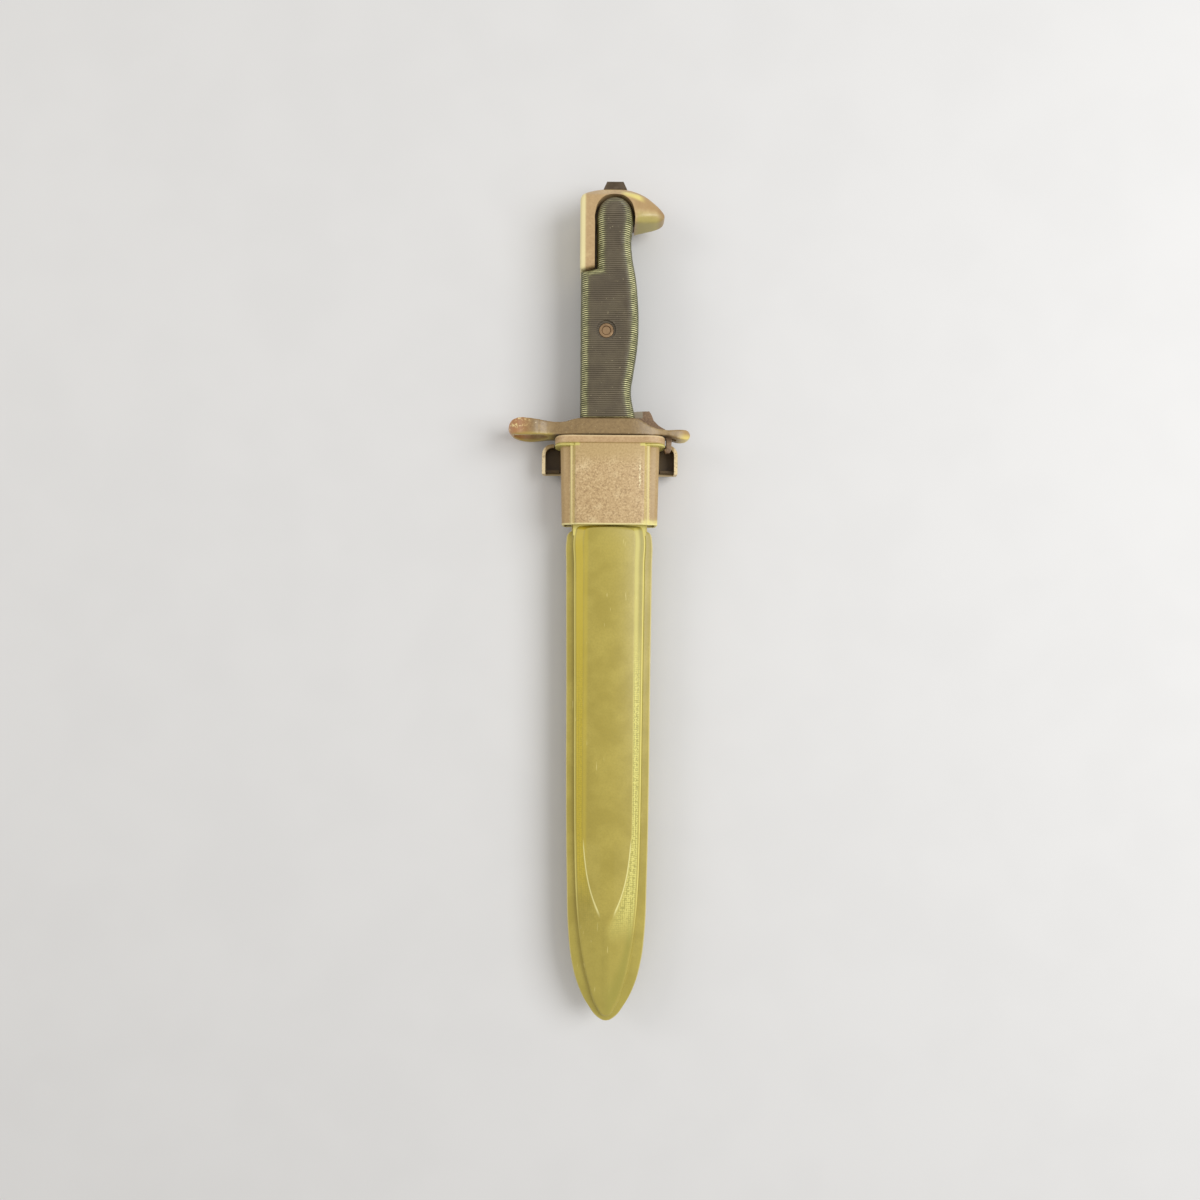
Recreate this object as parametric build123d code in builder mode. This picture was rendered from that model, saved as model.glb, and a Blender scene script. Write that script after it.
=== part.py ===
from build123d import *
import math
import os

# Sheathed fixed-blade knife with a muzzle ring and a hooked pommel, lying on its back.
# +X points to the beak side of the pommel, +Y from the blade's tip to the pommel, +Z up and
# away from the belt hook. The origin is the bottom centre of the whole object's box.
# Inside the model, every place is given as u (along X from the blade's centre line), v (along
# Y from the underside of the crossguard) and w (along Z from the middle of the blade).

# ---- Driving dimensions, in millimetres ----
RING_END_U = -47.5          # outer side of the muzzle ring
GUARD_TIP_U = 37.5          # end of the crossguard's other arm
TOP_V = 118.9               # peened end of the tang
TIP_V = -272.0              # tip of the scabbard
HINGE_W = -12.4             # axle of the belt hook, behind the blade's middle
KNUCKLE_R = 2.4             # outside of the rolled knuckles, the lowest thing on the object

BLADE_LENGTH = 254.0
BLADE_HALF_WIDTH = 12.5
BLADE_HALF_T = 2.8
TANG_HALF_T = 3.0
TANG_HALF_WIDTH = 9.5       # where the tang passes through the crossguard
MILLED_HALF = 2.05          # half width of the slots for the latch bar and the thumb catch
LEVER_HALF_T = 1.9          # half thickness of the latch bar and of the thumb catch

GUARD_HALF_DEPTH = 10.4
GUARD_TOP_V = 7.6
RING_U = -36.9
RING_R = 10.6
RING_BORE_R = 8.1

GRIP_BOTTOM_V = 7.9
GRIP_FACE_W = 11.3
GRIP_SEAT_W = 3.05
GRIP_LEFT_U = -14.0
RAIL_FOOT_V = 75.8          # lower end of the pommel's T-slot rail
ARCH_U = 1.5                # centre and radius of the arch at the top of the grip scales
ARCH_V = 101.5
ARCH_R = 8.2
BEAK_ROOT_V = 97.6          # where the beak's underside meets the arch
SHADOW_GAP = 1.0            # gap between the grip scales and the pommel
SCREW_U = -2.1
SCREW_V = 47.4
SCREW_HEAD_R = 3.4
SCREW_SHANK_R = 1.8
NUT_SHANK_R = 2.6
HEAD_SEAT_W = 8.6           # underside of the screw's and the nut's head
HEAD_TOP_W = 10.6

POMMEL_HALF_T = 9.4
RAIL_BACK_U = -14.5
TEE_HEAD_HALF = 4.8         # T-slot: half width and depth of its head, then of its neck
TEE_NECK_HALF = 2.5
TEE_NECK_DEPTH = 2.2
TEE_DEPTH = 5.4
TEE_FOOT_V = 82.0

CATCH_U = 27.4              # pivot of the thumb catch
CATCH_V = 1.0
CATCH_PIN_R = 0.9
LATCH_U = 5.6               # pivot of the latch bar
LATCH_V = 54.0
LATCH_PIN_R = 1.5
PIVOT_CLEARANCE = 0.05

PLATE_HALF_WIDTH = 25.5     # mouth flange
PLATE_TOP_V = -0.3
PLATE_FOOT_V = -3.9
RIM_FOOT_V = -4.9           # underside of the sleeve's out-turned rim
SLEEVE_FOOT_V = -41.2
SLEEVE_WALL = 1.2
SLEEVE_TOP_HALF = 23.0
SLEEVE_TAPER = 1.2          # degrees
SLEEVE_BACK_W = -9.5

NECK_HALF_WIDTH = 17.6
NECK_HALF_DEPTH = 5.2
SHOULDER_V = -43.8
SHELL_HALF_WIDTH = 20.0
FLANGE_W = 2.4              # top of the shell's side flange
FOOT_W = 4.2                # top of the small step round the raised panel
PANEL_W = 7.0               # flat of the raised panel
PANEL_BEND_V = -188.0       # where the panel's straight sides begin to close
CAVITY_HALF_WIDTH = 14.2
CAVITY_HALF_DEPTH = 4.3
SPRING_ROOM = 6.4           # half depth of the cavity where the leaf springs sit

TRAY_HALF_WIDTH = 32.0      # hanger plate
TRAY_TOP_V = -2.5
TRAY_FOOT_V = -16.4
TRAY_WALL = 1.6
TRAY_CORNER_R = 5.0
TRAY_FRONT_W = -3.0
PLATE_FRONT_W = -9.6
PLATE_BACK_W = -10.8
HINGE_V = -17.5
WIRE_R = 1.2
WIRE_CLEARANCE = 0.06
HOOK_HALF_WIDTH = 15.0
HOOK_FOOT_V = -60.0
PRONG_U = 10.0
PRONG_TIP_V = -46.5
PRONG_W = -8.6

# ---- Where the blade's axes lie in the object's own frame ----
AXIS_X = -(RING_END_U + GUARD_TIP_U) / 2
GUARD_Y = -(TOP_V + TIP_V) / 2
MID_Z = KNUCKLE_R - HINGE_W


def facing(w):
    """Plane that faces up at height w. Its x is u and its y is v."""
    return Plane((AXIS_X, GUARD_Y, MID_Z + w))


def across(v):
    """Plane square to the blade at v, facing the tip. Its x is u and its y is w."""
    return Plane((AXIS_X, GUARD_Y + v, MID_Z), x_dir=(1, 0, 0), z_dir=(0, -1, 0))


def beside(u):
    """Plane at u that faces the beak side. Its x is v and its y is w."""
    return Plane((AXIS_X + u, GUARD_Y, MID_Z), x_dir=(0, 1, 0), z_dir=(1, 0, 0))


def place(u, v, w):
    """A point given by u, v and w, in the object's frame."""
    return (AXIS_X + u, GUARD_Y + v, MID_Z + w)


def finish(part, label):
    """Labels a finished sub-part and writes it out."""
    part.label = label
    export_step(part, f"parts/{label}.step")


os.makedirs("parts", exist_ok=True)


# ---- Scabbard: two moulded shells ----
def ogive(half_top, v_top, half_low, v_low, shoulders, tip_v, tip_slope=0.0):
    """Fills a symmetric outline: straight sides, then a curve through shoulders to the tip.

    With no slope the tip is round, and with one it is a point."""
    lean = (half_low - half_top) / (v_top - v_low)
    with BuildLine() as outline:
        Line((-half_top, v_top), (half_top, v_top))
        for side in (1, -1):
            curve = [(side * half, v) for half, v in [(half_low, v_low), *shoulders, (0, tip_v)]]
            Line((side * half_top, v_top), (side * half_low, v_low))
            Spline(curve, tangents=[(side * lean, -1), (-side, -tip_slope)])
    make_face(outline.edges())


def throat_section(inset):
    """Cross-section of the throat at its mouth: a raised panel in front, flat behind."""
    front_half = [(0, 10.3), (15.6, 10.3), (17.9, 8.6), (18.5, 7.8), (20.8, 7.3), (SLEEVE_TOP_HALF, 4.9)]
    back_half = [(SLEEVE_TOP_HALF, -7.5), (21.0, SLEEVE_BACK_W), (0, SLEEVE_BACK_W)]
    right = front_half + back_half
    left = [(-u, w) for u, w in reversed(right[1:-1])]
    with BuildLine() as outline:
        Polyline(*right, *left, close=True)
    make_face(outline.edges())
    if inset:
        offset(amount=-inset, kind=Kind.INTERSECTION, mode=Mode.REPLACE)


NECK_IN_SLEEVE = SLEEVE_WALL + 0.1
INSERT_HALF_DEPTH = -SLEEVE_BACK_W - SLEEVE_WALL - 0.2
INSERT_TOP_V = PLATE_FOOT_V - 0.3
INSERT_FOOT_V = SLEEVE_FOOT_V + 0.6

with BuildPart() as sheath_front_shell:
    # thin flange with rounded shoulders
    with BuildSketch(facing(0)):
        ogive(SHELL_HALF_WIDTH, SHOULDER_V, 19.3, -175, [(17.8, -228), (14.0, -252)], TIP_V)
    extrude(amount=FLANGE_W)
    shoulder_edges = sheath_front_shell.edges().filter_by(Axis.Z).group_by(Axis.Y)[-1]
    fillet(shoulder_edges, 4.5)
    # the small step round the raised panel
    with BuildSketch(facing(0)):
        ogive(16.2, SHOULDER_V + 1.4, 15.1, PANEL_BEND_V, [(13.6, -222), (8.8, -252)], TIP_V + 3)
    extrude(amount=FOOT_W)
    # raised panel, which ends in a V
    with BuildSketch(facing(FOOT_W)):
        ogive(15.8, SHOULDER_V + 1.4, 14.7, PANEL_BEND_V, [(13.2, -222), (8.4, -252)], TIP_V + 3.6)
    with BuildSketch(facing(PANEL_W)):
        ogive(11.2, SHOULDER_V + 1.4, 10.9, PANEL_BEND_V, [(8.6, -204), (4.0, -217)], -226, tip_slope=2.0)
    loft(ruled=True)
    # neck, and the thicker part of it that fills the sleeve
    with BuildSketch(across(INSERT_TOP_V)):
        with Locations((0, NECK_HALF_DEPTH / 2)):
            Rectangle(2 * NECK_HALF_WIDTH, NECK_HALF_DEPTH)
    extrude(amount=INSERT_TOP_V - SHOULDER_V + 1)
    with BuildSketch(across(INSERT_TOP_V)):
        throat_section(NECK_IN_SLEEVE + 0.1)
        Rectangle(2 * SLEEVE_TOP_HALF, 2 * INSERT_HALF_DEPTH, mode=Mode.INTERSECT)
    extrude(amount=INSERT_TOP_V - INSERT_FOOT_V, taper=SLEEVE_TAPER)
    # room for the blade, with less depth where the blade thins to its point
    with BuildPart(mode=Mode.PRIVATE) as blade_room:
        with BuildSketch(facing(-CAVITY_HALF_DEPTH)):
            ogive(CAVITY_HALF_WIDTH, 10, CAVITY_HALF_WIDTH, -205, [(9.6, -236)], -257.5)
        extrude(amount=2 * CAVITY_HALF_DEPTH)
        with BuildSketch(beside(-CAVITY_HALF_WIDTH - 1)):
            deep, shallow = CAVITY_HALF_DEPTH, 1.6
            with BuildLine():
                Polyline((12, deep), (-208, deep), (-260, shallow), (-260, -shallow),
                         (-208, -deep), (12, -deep), close=True)
            make_face()
        extrude(amount=2 * CAVITY_HALF_WIDTH + 2, mode=Mode.INTERSECT)
    add(blade_room.part, mode=Mode.SUBTRACT)
    with BuildSketch(across(0)):
        Rectangle(2 * CAVITY_HALF_WIDTH, 2 * SPRING_ROOM)
    extrude(amount=-INSERT_FOOT_V - 2, mode=Mode.SUBTRACT)
    # only the half in front of the joint line
    split(bisect_by=facing(0), keep=Keep.TOP)
    # hole for the leaf spring's rivet
    with BuildSketch(facing(0)):
        with Locations((0, -36)):
            Circle(1.05)
    extrude(amount=20, mode=Mode.SUBTRACT)
finish(sheath_front_shell.part, "sheath_front_shell")

with BuildPart() as sheath_back_shell:
    mirror(sheath_front_shell.part, about=facing(0))
finish(sheath_back_shell.part, "sheath_back_shell")


# ---- Throat sleeve, pressed from sheet ----
SLEEVE_TOP_V = PLATE_FOOT_V - 0.02
RIM_INSIDE_U = 14.0
RIVET_R = 1.2
RIVET_SPOTS = [(side * 20.0, v) for side in (-1, 1) for v in (-6.5, -12.5)]

with BuildPart() as throat_sleeve:
    with BuildSketch(across(SLEEVE_TOP_V)):
        throat_section(0)
    extrude(amount=SLEEVE_TOP_V - SLEEVE_FOOT_V, taper=SLEEVE_TAPER)
    # rim turned out under the mouth flange, at either side
    with BuildSketch(across(SLEEVE_TOP_V)):
        RectangleRounded(2 * PLATE_HALF_WIDTH, 2 * 9.2, 6)
        Rectangle(2 * RIM_INSIDE_U, 40, mode=Mode.SUBTRACT)
    extrude(amount=SLEEVE_TOP_V - RIM_FOOT_V)
    with BuildSketch(across(SLEEVE_TOP_V)):
        throat_section(SLEEVE_WALL)
    extrude(amount=SLEEVE_TOP_V - SLEEVE_FOOT_V + 0.01, taper=SLEEVE_TAPER, mode=Mode.SUBTRACT)
    # relief for the nose of the thumb catch
    with BuildSketch(across(SLEEVE_TOP_V)):
        with Locations((PLATE_HALF_WIDTH, 0)):
            Rectangle(2.2, 6)
    extrude(amount=SLEEVE_TOP_V - RIM_FOOT_V, mode=Mode.SUBTRACT)
    with BuildSketch(facing(-20)):
        with Locations(*RIVET_SPOTS):
            Circle(RIVET_R + 0.02)
    extrude(amount=18, mode=Mode.SUBTRACT)
finish(throat_sleeve.part, "throat_sleeve")

with BuildPart() as mouth_flange:
    with BuildSketch(across(PLATE_TOP_V)):
        with Locations((0, 0.7)):
            RectangleRounded(2 * PLATE_HALF_WIDTH, 20.2, 7)
    extrude(amount=PLATE_TOP_V - PLATE_FOOT_V)
    fillet(mouth_flange.edges().group_by(Axis.Y)[-1], 0.9)
    # slot for the blade, and the relief for the nose of the thumb catch
    with BuildSketch(across(PLATE_TOP_V)):
        RectangleRounded(2 * 13.8, 2 * 4.0, 1.5)
        with Locations((PLATE_HALF_WIDTH, 0)):
            Rectangle(1.4, 6)
    extrude(amount=PLATE_TOP_V - PLATE_FOOT_V, mode=Mode.SUBTRACT)
finish(mouth_flange.part, "mouth_flange")


# ---- Hanger plate with its rivets ----
KNUCKLE_SPANS = [(-11.5, -5.0), (5.0, 11.5)]

with BuildPart() as hanger_plate:
    tray_height = TRAY_TOP_V - TRAY_FOOT_V
    tray_middle = (TRAY_TOP_V + TRAY_FOOT_V) / 2
    # back wall and wings, drawn as a dish with its top corners rounded
    with BuildSketch(facing(PLATE_BACK_W)):
        with Locations((0, tray_middle)):
            Rectangle(2 * TRAY_HALF_WIDTH, tray_height)
    extrude(amount=TRAY_FRONT_W - PLATE_BACK_W)
    fillet(hanger_plate.edges().filter_by(Axis.Z).group_by(Axis.Y)[-1], TRAY_CORNER_R)
    with BuildSketch(facing(PLATE_FRONT_W)):
        with Locations((0, tray_middle - TRAY_WALL)):
            dish = Rectangle(2 * (TRAY_HALF_WIDTH - TRAY_WALL), tray_height)
        fillet(dish.vertices().group_by(Axis.Y)[-1], TRAY_CORNER_R - TRAY_WALL)
        with Locations((0, TRAY_TOP_V)):
            Rectangle(2 * (PLATE_HALF_WIDTH + 0.8), 2 * TRAY_WALL + 0.2)
    extrude(amount=TRAY_FRONT_W - PLATE_FRONT_W, mode=Mode.SUBTRACT)
    # low lip along the foot of each wing
    with BuildSketch(facing(PLATE_FRONT_W)):
        for side in (-1, 1):
            with Locations((side * (TRAY_HALF_WIDTH + SLEEVE_TOP_HALF + 1) / 2, TRAY_FOOT_V + 1.7)):
                Rectangle(TRAY_HALF_WIDTH - SLEEVE_TOP_HALF - 1, 1.0)
    extrude(amount=3)
    # knuckles rolled round the axle of the belt hook
    for low, high in KNUCKLE_SPANS:
        with BuildSketch(beside(low)):
            with Locations((HINGE_V, HINGE_W)):
                Circle(KNUCKLE_R)
            with BuildLine():
                Polyline((TRAY_FOOT_V + 1, PLATE_FRONT_W), (HINGE_V, PLATE_FRONT_W), (HINGE_V, HINGE_W),
                         (HINGE_V + KNUCKLE_R, HINGE_W), (TRAY_FOOT_V + 1, PLATE_BACK_W), close=True)
            make_face()
        extrude(amount=high - low)
        with BuildSketch(beside(low)):
            with Locations((HINGE_V, HINGE_W)):
                Circle(WIRE_R + WIRE_CLEARANCE)
        extrude(amount=high - low, mode=Mode.SUBTRACT)
    with BuildSketch(facing(-20)):
        with Locations(*RIVET_SPOTS):
            Circle(RIVET_R + 0.02)
    extrude(amount=18, mode=Mode.SUBTRACT)
finish(hanger_plate.part, "hanger_plate")

with BuildPart() as hanger_rivets:
    rivet_inside_w = SLEEVE_BACK_W + SLEEVE_WALL
    with BuildSketch(facing(PLATE_BACK_W)):
        with Locations(*RIVET_SPOTS):
            Circle(RIVET_R)
    extrude(amount=rivet_inside_w - PLATE_BACK_W)
    with BuildSketch(facing(PLATE_BACK_W)):
        with Locations(*RIVET_SPOTS):
            Circle(1.9)
    extrude(amount=-0.9)
    fillet(hanger_rivets.edges().filter_by(GeomType.CIRCLE).group_by(Axis.Z)[0], 0.7)
finish(hanger_rivets.part, "hanger_rivets")


# ---- Leaf springs that hold the blade ----
SPRING_T = 0.6
SPRING_HALF_WIDTH = 6.0
SPRING_BOW_W = BLADE_HALF_T + 0.4
SPRING_RIVET_V = -36.0


def leaf_spring():
    """Fills the side outline of a leaf spring in front of the blade, bowed towards it."""
    seat = SPRING_ROOM - 0.05
    with BuildLine() as outline:
        Polyline((-6.0, seat - 0.4), (-8.0, seat - 0.8), (-19.0, SPRING_BOW_W + SPRING_T),
                 (-24.0, SPRING_BOW_W + SPRING_T), (-33.0, seat), (-38.5, seat), (-38.5, seat - SPRING_T),
                 (-32.8, seat - SPRING_T), (-24.1, SPRING_BOW_W), (-18.9, SPRING_BOW_W),
                 (-8.0, seat - 0.8 - SPRING_T), (-6.0, seat - 0.4 - SPRING_T), close=True)
    make_face(outline.edges())


with BuildPart() as throat_spring_front:
    with BuildSketch(beside(-SPRING_HALF_WIDTH)):
        leaf_spring()
    extrude(amount=2 * SPRING_HALF_WIDTH)
    with BuildSketch(facing(0)):
        with Locations((0, SPRING_RIVET_V)):
            Circle(1.05)
    extrude(amount=20, mode=Mode.SUBTRACT)
finish(throat_spring_front.part, "throat_spring_front")

with BuildPart() as throat_spring_back:
    mirror(throat_spring_front.part, about=facing(0))
finish(throat_spring_back.part, "throat_spring_back")

with BuildPart() as spring_rivets:
    head_w = SPRING_ROOM - 0.05 - SPRING_T
    with BuildSketch(facing(head_w - 0.6)):
        with Locations((0, SPRING_RIVET_V)):
            Circle(2.0)
    extrude(amount=0.6)
    with BuildSketch(facing(head_w)):
        with Locations((0, SPRING_RIVET_V)):
            Circle(1.0)
    extrude(amount=1.2)
    mirror(about=facing(0))
finish(spring_rivets.part, "spring_rivets")


# ---- Belt hook, bent from one wire ----
with BuildPart() as belt_hook:
    turn_r = math.hypot(HOOK_HALF_WIDTH - PRONG_U, PRONG_W - HINGE_W) / 2
    turn_u = (HOOK_HALF_WIDTH + PRONG_U) / 2
    turn_w = (HINGE_W + PRONG_W) / 2
    with BuildLine() as wire_route:
        for side in (-1, 1):
            prong_low = place(side * PRONG_U, HOOK_FOOT_V, PRONG_W)
            turn_foot = place(side * turn_u, HOOK_FOOT_V - turn_r, turn_w)
            arm_low = place(side * HOOK_HALF_WIDTH, HOOK_FOOT_V, HINGE_W)
            Line(place(side * PRONG_U, PRONG_TIP_V, PRONG_W), prong_low)
            ThreePointArc(prong_low, turn_foot, arm_low)
        FilletPolyline(place(-HOOK_HALF_WIDTH, HOOK_FOOT_V, HINGE_W),
                       place(-HOOK_HALF_WIDTH, HINGE_V, HINGE_W), place(HOOK_HALF_WIDTH, HINGE_V, HINGE_W),
                       place(HOOK_HALF_WIDTH, HOOK_FOOT_V, HINGE_W), radius=2.6)
    tip = place(-PRONG_U, PRONG_TIP_V, PRONG_W)
    with BuildSketch(Plane(tip, z_dir=(0, -1, 0))):
        Circle(WIRE_R)
    sweep(path=wire_route.wire())
finish(belt_hook.part, "belt_hook")


# ---- Blade, with its tang and peened end ----
BACK_END_V = -204           # where the blade's back and its edge begin to curve to the point
EDGE_END_V = -196
FULLER_R = 9.0
FULLER_U = -4.0
FULLER_DEPTH = 1.0
FULLER_TOP_V = -20.0
FULLER_FOOT_V = -170.0
STUB_SPAN_U = (-2.0, 5.2)
CROWN_V = 114.8             # top of the pommel's crown
PEEN_BASE = (10.8, 8.4)     # peened end: size at its foot and at its top
PEEN_TOP = (7.6, 5.6)
PEEN_U = 1.6
TOOTH_FOOT_V = 95.0         # tooth of the latch bar
TOOTH_TOP_V = 99.0
TOOTH_TIP_U = -10.9
SPRING_V = 12.8             # coil spring behind the latch bar
SPRING_SEAT_U = -4.5
SPRING_COIL_R = 1.7
SPRING_WIRE_R = 0.25
LATCH_LOW_U = 3.6           # the latch bar's back and front edge below its pivot
LATCH_HIGH_U = 7.6
LATCH_PIN_END_W = 4.8       # the latch pivot ends this far behind the middle, inside the back scale
SCREW_END_W = 8.0           # and the grip screw this far


def grip_outline(inset):
    """Fills the outline of a grip scale, drawn in by inset: straight back, swelling front, arch."""
    radius = ARCH_R - inset
    belly = [(11.4, GRIP_BOTTOM_V), (9.5, 20), (12.3, 41), (12.8, 52), (11.4, 72.5), (9.1, 89.4)]
    belly_line = [(u - inset, v) for u, v in belly]
    with BuildLine() as outline:
        front = Spline([*belly_line, (ARCH_U + radius, ARCH_V)], tangents=[(-0.25, 1), (0, 1)])
        ThreePointArc(front @ 1, (ARCH_U, ARCH_V + radius), (ARCH_U - radius, ARCH_V))
        Polyline((ARCH_U - radius, ARCH_V), (ARCH_U - radius, RAIL_FOOT_V + 0.8 - inset),
                 (GRIP_LEFT_U + inset, RAIL_FOOT_V - 0.8 - inset), (GRIP_LEFT_U + inset, GRIP_BOTTOM_V),
                 front @ 0)
    make_face(outline.edges())


def arch_opening(gap):
    """Fills the opening of the pommel, which stands off the arch of the grip scales by gap."""
    radius = ARCH_R + gap
    with Locations((ARCH_U, ARCH_V)):
        Circle(radius)
        Rectangle(radius, ARCH_V - RAIL_FOOT_V, align=(Align.MAX, Align.MAX))
        Rectangle(radius, ARCH_V - BEAK_ROOT_V, align=(Align.MIN, Align.MAX))


with BuildPart() as blade:
    # spear-pointed outline
    with BuildSketch(facing(-BLADE_HALF_T)):
        with BuildLine():
            Polyline((-BLADE_HALF_WIDTH, BACK_END_V), (-BLADE_HALF_WIDTH, 0), (BLADE_HALF_WIDTH, 0),
                     (BLADE_HALF_WIDTH, EDGE_END_V))
            Spline((BLADE_HALF_WIDTH, EDGE_END_V), (10.4, -222), (1.0, -BLADE_LENGTH),
                   tangents=[(0, -1), (-0.62, -1)])
            Spline((-BLADE_HALF_WIDTH, BACK_END_V), (-9.6, -228), (1.0, -BLADE_LENGTH),
                   tangents=[(0, -1), (0.62, -1)])
        make_face()
    extrude(amount=2 * BLADE_HALF_T)
    # cross-section: square back, flat, then the long bevel to the edge
    with BuildSketch(across(0)):
        with BuildLine():
            Polyline((-BLADE_HALF_WIDTH, BLADE_HALF_T), (2.5, BLADE_HALF_T), (BLADE_HALF_WIDTH, 0.3),
                     (BLADE_HALF_WIDTH, -0.3), (2.5, -BLADE_HALF_T), (-BLADE_HALF_WIDTH, -BLADE_HALF_T),
                     close=True)
        make_face()
    extrude(amount=BLADE_LENGTH, mode=Mode.INTERSECT)
    # the blade thins towards its point
    with BuildSketch(beside(-BLADE_HALF_WIDTH)):
        with BuildLine():
            Polyline((0, BLADE_HALF_T), (-206, BLADE_HALF_T), (-BLADE_LENGTH, 0.3), (-BLADE_LENGTH, -0.3),
                     (-206, -BLADE_HALF_T), (0, -BLADE_HALF_T), close=True)
        make_face()
    extrude(amount=2 * BLADE_HALF_WIDTH, mode=Mode.INTERSECT)
    # a groove along each face
    for side in (-1, 1):
        groove_w = side * (BLADE_HALF_T - FULLER_DEPTH + FULLER_R)
        with BuildPart(mode=Mode.PRIVATE) as fuller:
            with BuildSketch(Plane(place(FULLER_U, FULLER_TOP_V, groove_w), z_dir=(0, -1, 0))):
                Circle(FULLER_R)
            extrude(amount=FULLER_TOP_V - FULLER_FOOT_V)
            for v in (FULLER_TOP_V, FULLER_FOOT_V):
                with Locations(place(FULLER_U, v, groove_w)):
                    Sphere(FULLER_R)
        add(fuller.part, mode=Mode.SUBTRACT)
    # tang: the outline of the scales, the pommel's opening, and the stubs through crossguard and crown
    with BuildSketch(facing(-TANG_HALF_T)):
        grip_outline(0.5)
        arch_opening(SHADOW_GAP - 0.05)
        with Locations((0, GRIP_BOTTOM_V / 2)):
            Rectangle(2 * TANG_HALF_WIDTH, GRIP_BOTTOM_V + 1)
        with Locations((sum(STUB_SPAN_U) / 2, (ARCH_V + CROWN_V) / 2)):
            Rectangle(STUB_SPAN_U[1] - STUB_SPAN_U[0], CROWN_V - ARCH_V)
    extrude(amount=2 * TANG_HALF_T)
    # peened end, spread over the pommel's crown
    for v, size in ((CROWN_V, PEEN_BASE), (TOP_V, PEEN_TOP)):
        with BuildSketch(Plane(place(PEEN_U, v, 0), x_dir=(1, 0, 0), z_dir=(0, 1, 0))):
            Rectangle(*size)
    loft()
    # slot milled from the back for the latch bar, open at the front edge for the thumb catch
    with BuildSketch(facing(-TANG_HALF_T - 0.1)):
        with BuildLine():
            Polyline((0.5, 5.3), (14, 5.3), (14, 16.5), (8.6, 16.5), (9.2, 57), (4, 84), (4, 104), (-4, 104),
                     (-4, TOOTH_TOP_V + 0.6), (-9, TOOTH_TOP_V + 0.6), (-9, TOOTH_FOOT_V - 0.6),
                     (-4, TOOTH_FOOT_V - 0.6), (-4, 82.5), (2.2, 50), (0.5, 16.5), close=True)
        make_face()
        with Locations(((SPRING_SEAT_U + 1) / 2, SPRING_V)):
            Rectangle(1 - SPRING_SEAT_U, 2 * SPRING_COIL_R + 0.6)
    extrude(amount=TANG_HALF_T + 0.1 + MILLED_HALF + 0.3, mode=Mode.SUBTRACT)
    # holes for the grip screw's nut and the latch pivot
    with BuildSketch(facing(-TANG_HALF_T)):
        with Locations((SCREW_U, SCREW_V)):
            Circle(NUT_SHANK_R + 0.1)
        with Locations((LATCH_U, LATCH_V)):
            Circle(LATCH_PIN_R + 0.02)
    extrude(amount=2 * TANG_HALF_T, mode=Mode.SUBTRACT)
finish(blade.part, "blade")


# ---- Crossguard ----
CATCH_WAY = (21.0, 31.0)    # where the slot for the thumb catch goes right through
LEVER_WAY_V = 1.6           # floor of the slot for the lever

with BuildPart() as crossguard:
    # shape seen from the front
    with BuildSketch(facing(-RING_R)):
        with BuildLine():
            left_top = Spline([(RING_END_U, 3.8), (-44.0, 7.2), (-36, 7.0), (-25, 5.9), (-12.5, GUARD_TOP_V)],
                              tangents=[(0, 1), (1, 0)])
            Line(left_top @ 1, (12.5, GUARD_TOP_V))
            right_top = Spline([(12.5, GUARD_TOP_V), (16.2, 5.0), (23, 2.9), (33.5, 3.1), (GUARD_TIP_U, 1.2)],
                               tangents=[(1, -0.2), (0, -1)])
            under_tip = Spline([(GUARD_TIP_U, 1.2), (35.2, -1.4), (26, 0)], tangents=[(0, -1), (-1, 0.05)])
            Line(under_tip @ 1, (-43.5, 0))
            ThreePointArc((-43.5, 0), (-46.6, 1.2), (RING_END_U, 3.8))
        make_face()
    extrude(amount=2 * RING_R)
    # shape seen from the pommel
    with BuildSketch(Plane(place(0, -5, 0), x_dir=(1, 0, 0), z_dir=(0, 1, 0))):
        with Locations((RING_U, 0)):
            Circle(RING_R)
        for side in (-1, 1):
            with BuildLine():
                bar = Spline([(RING_U + 4, side * 9.6), (-26, side * 8.2), (-9, side * GUARD_HALF_DEPTH)],
                             tangents=[(1, -side * 0.3), (1, 0)])
                Line(bar @ 1, (11, side * GUARD_HALF_DEPTH))
                arm = Spline([(11, side * GUARD_HALF_DEPTH), (20, side * 8.0), (31, side * 6.6),
                              (GUARD_TIP_U, 0)], tangents=[(1, 0), (0, -side)])
                Line(arm @ 1, (RING_U + 4, 0))
                Line((RING_U + 4, 0), bar @ 0)
            make_face()
    extrude(amount=20, mode=Mode.INTERSECT)
    with BuildSketch(Plane(place(0, -5, 0), x_dir=(1, 0, 0), z_dir=(0, 1, 0))):
        with Locations((RING_U, 0)):
            Circle(RING_BORE_R)
        Rectangle(2 * TANG_HALF_WIDTH + 0.1, 2 * TANG_HALF_T + 0.1)
        with Locations(((CATCH_WAY[0] + CATCH_WAY[1]) / 2, 0)):
            Rectangle(CATCH_WAY[1] - CATCH_WAY[0], 2 * MILLED_HALF + 0.4)
    extrude(amount=20, mode=Mode.SUBTRACT)
    # the way of the lever over the top of the crossguard
    with BuildSketch(facing(-MILLED_HALF - 0.2)):
        with Locations(((TANG_HALF_WIDTH + CATCH_WAY[1]) / 2, LEVER_WAY_V)):
            Rectangle(CATCH_WAY[1] - TANG_HALF_WIDTH, 8, align=(Align.CENTER, Align.MIN))
    extrude(amount=2 * MILLED_HALF + 0.4, mode=Mode.SUBTRACT)
    # blind hole for the catch's pivot, drilled from the back
    with BuildSketch(facing(-RING_R)):
        with Locations((CATCH_U, CATCH_V)):
            Circle(CATCH_PIN_R + 0.01)
    extrude(amount=RING_R + 4.6, mode=Mode.SUBTRACT)
finish(crossguard.part, "crossguard")


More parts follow.
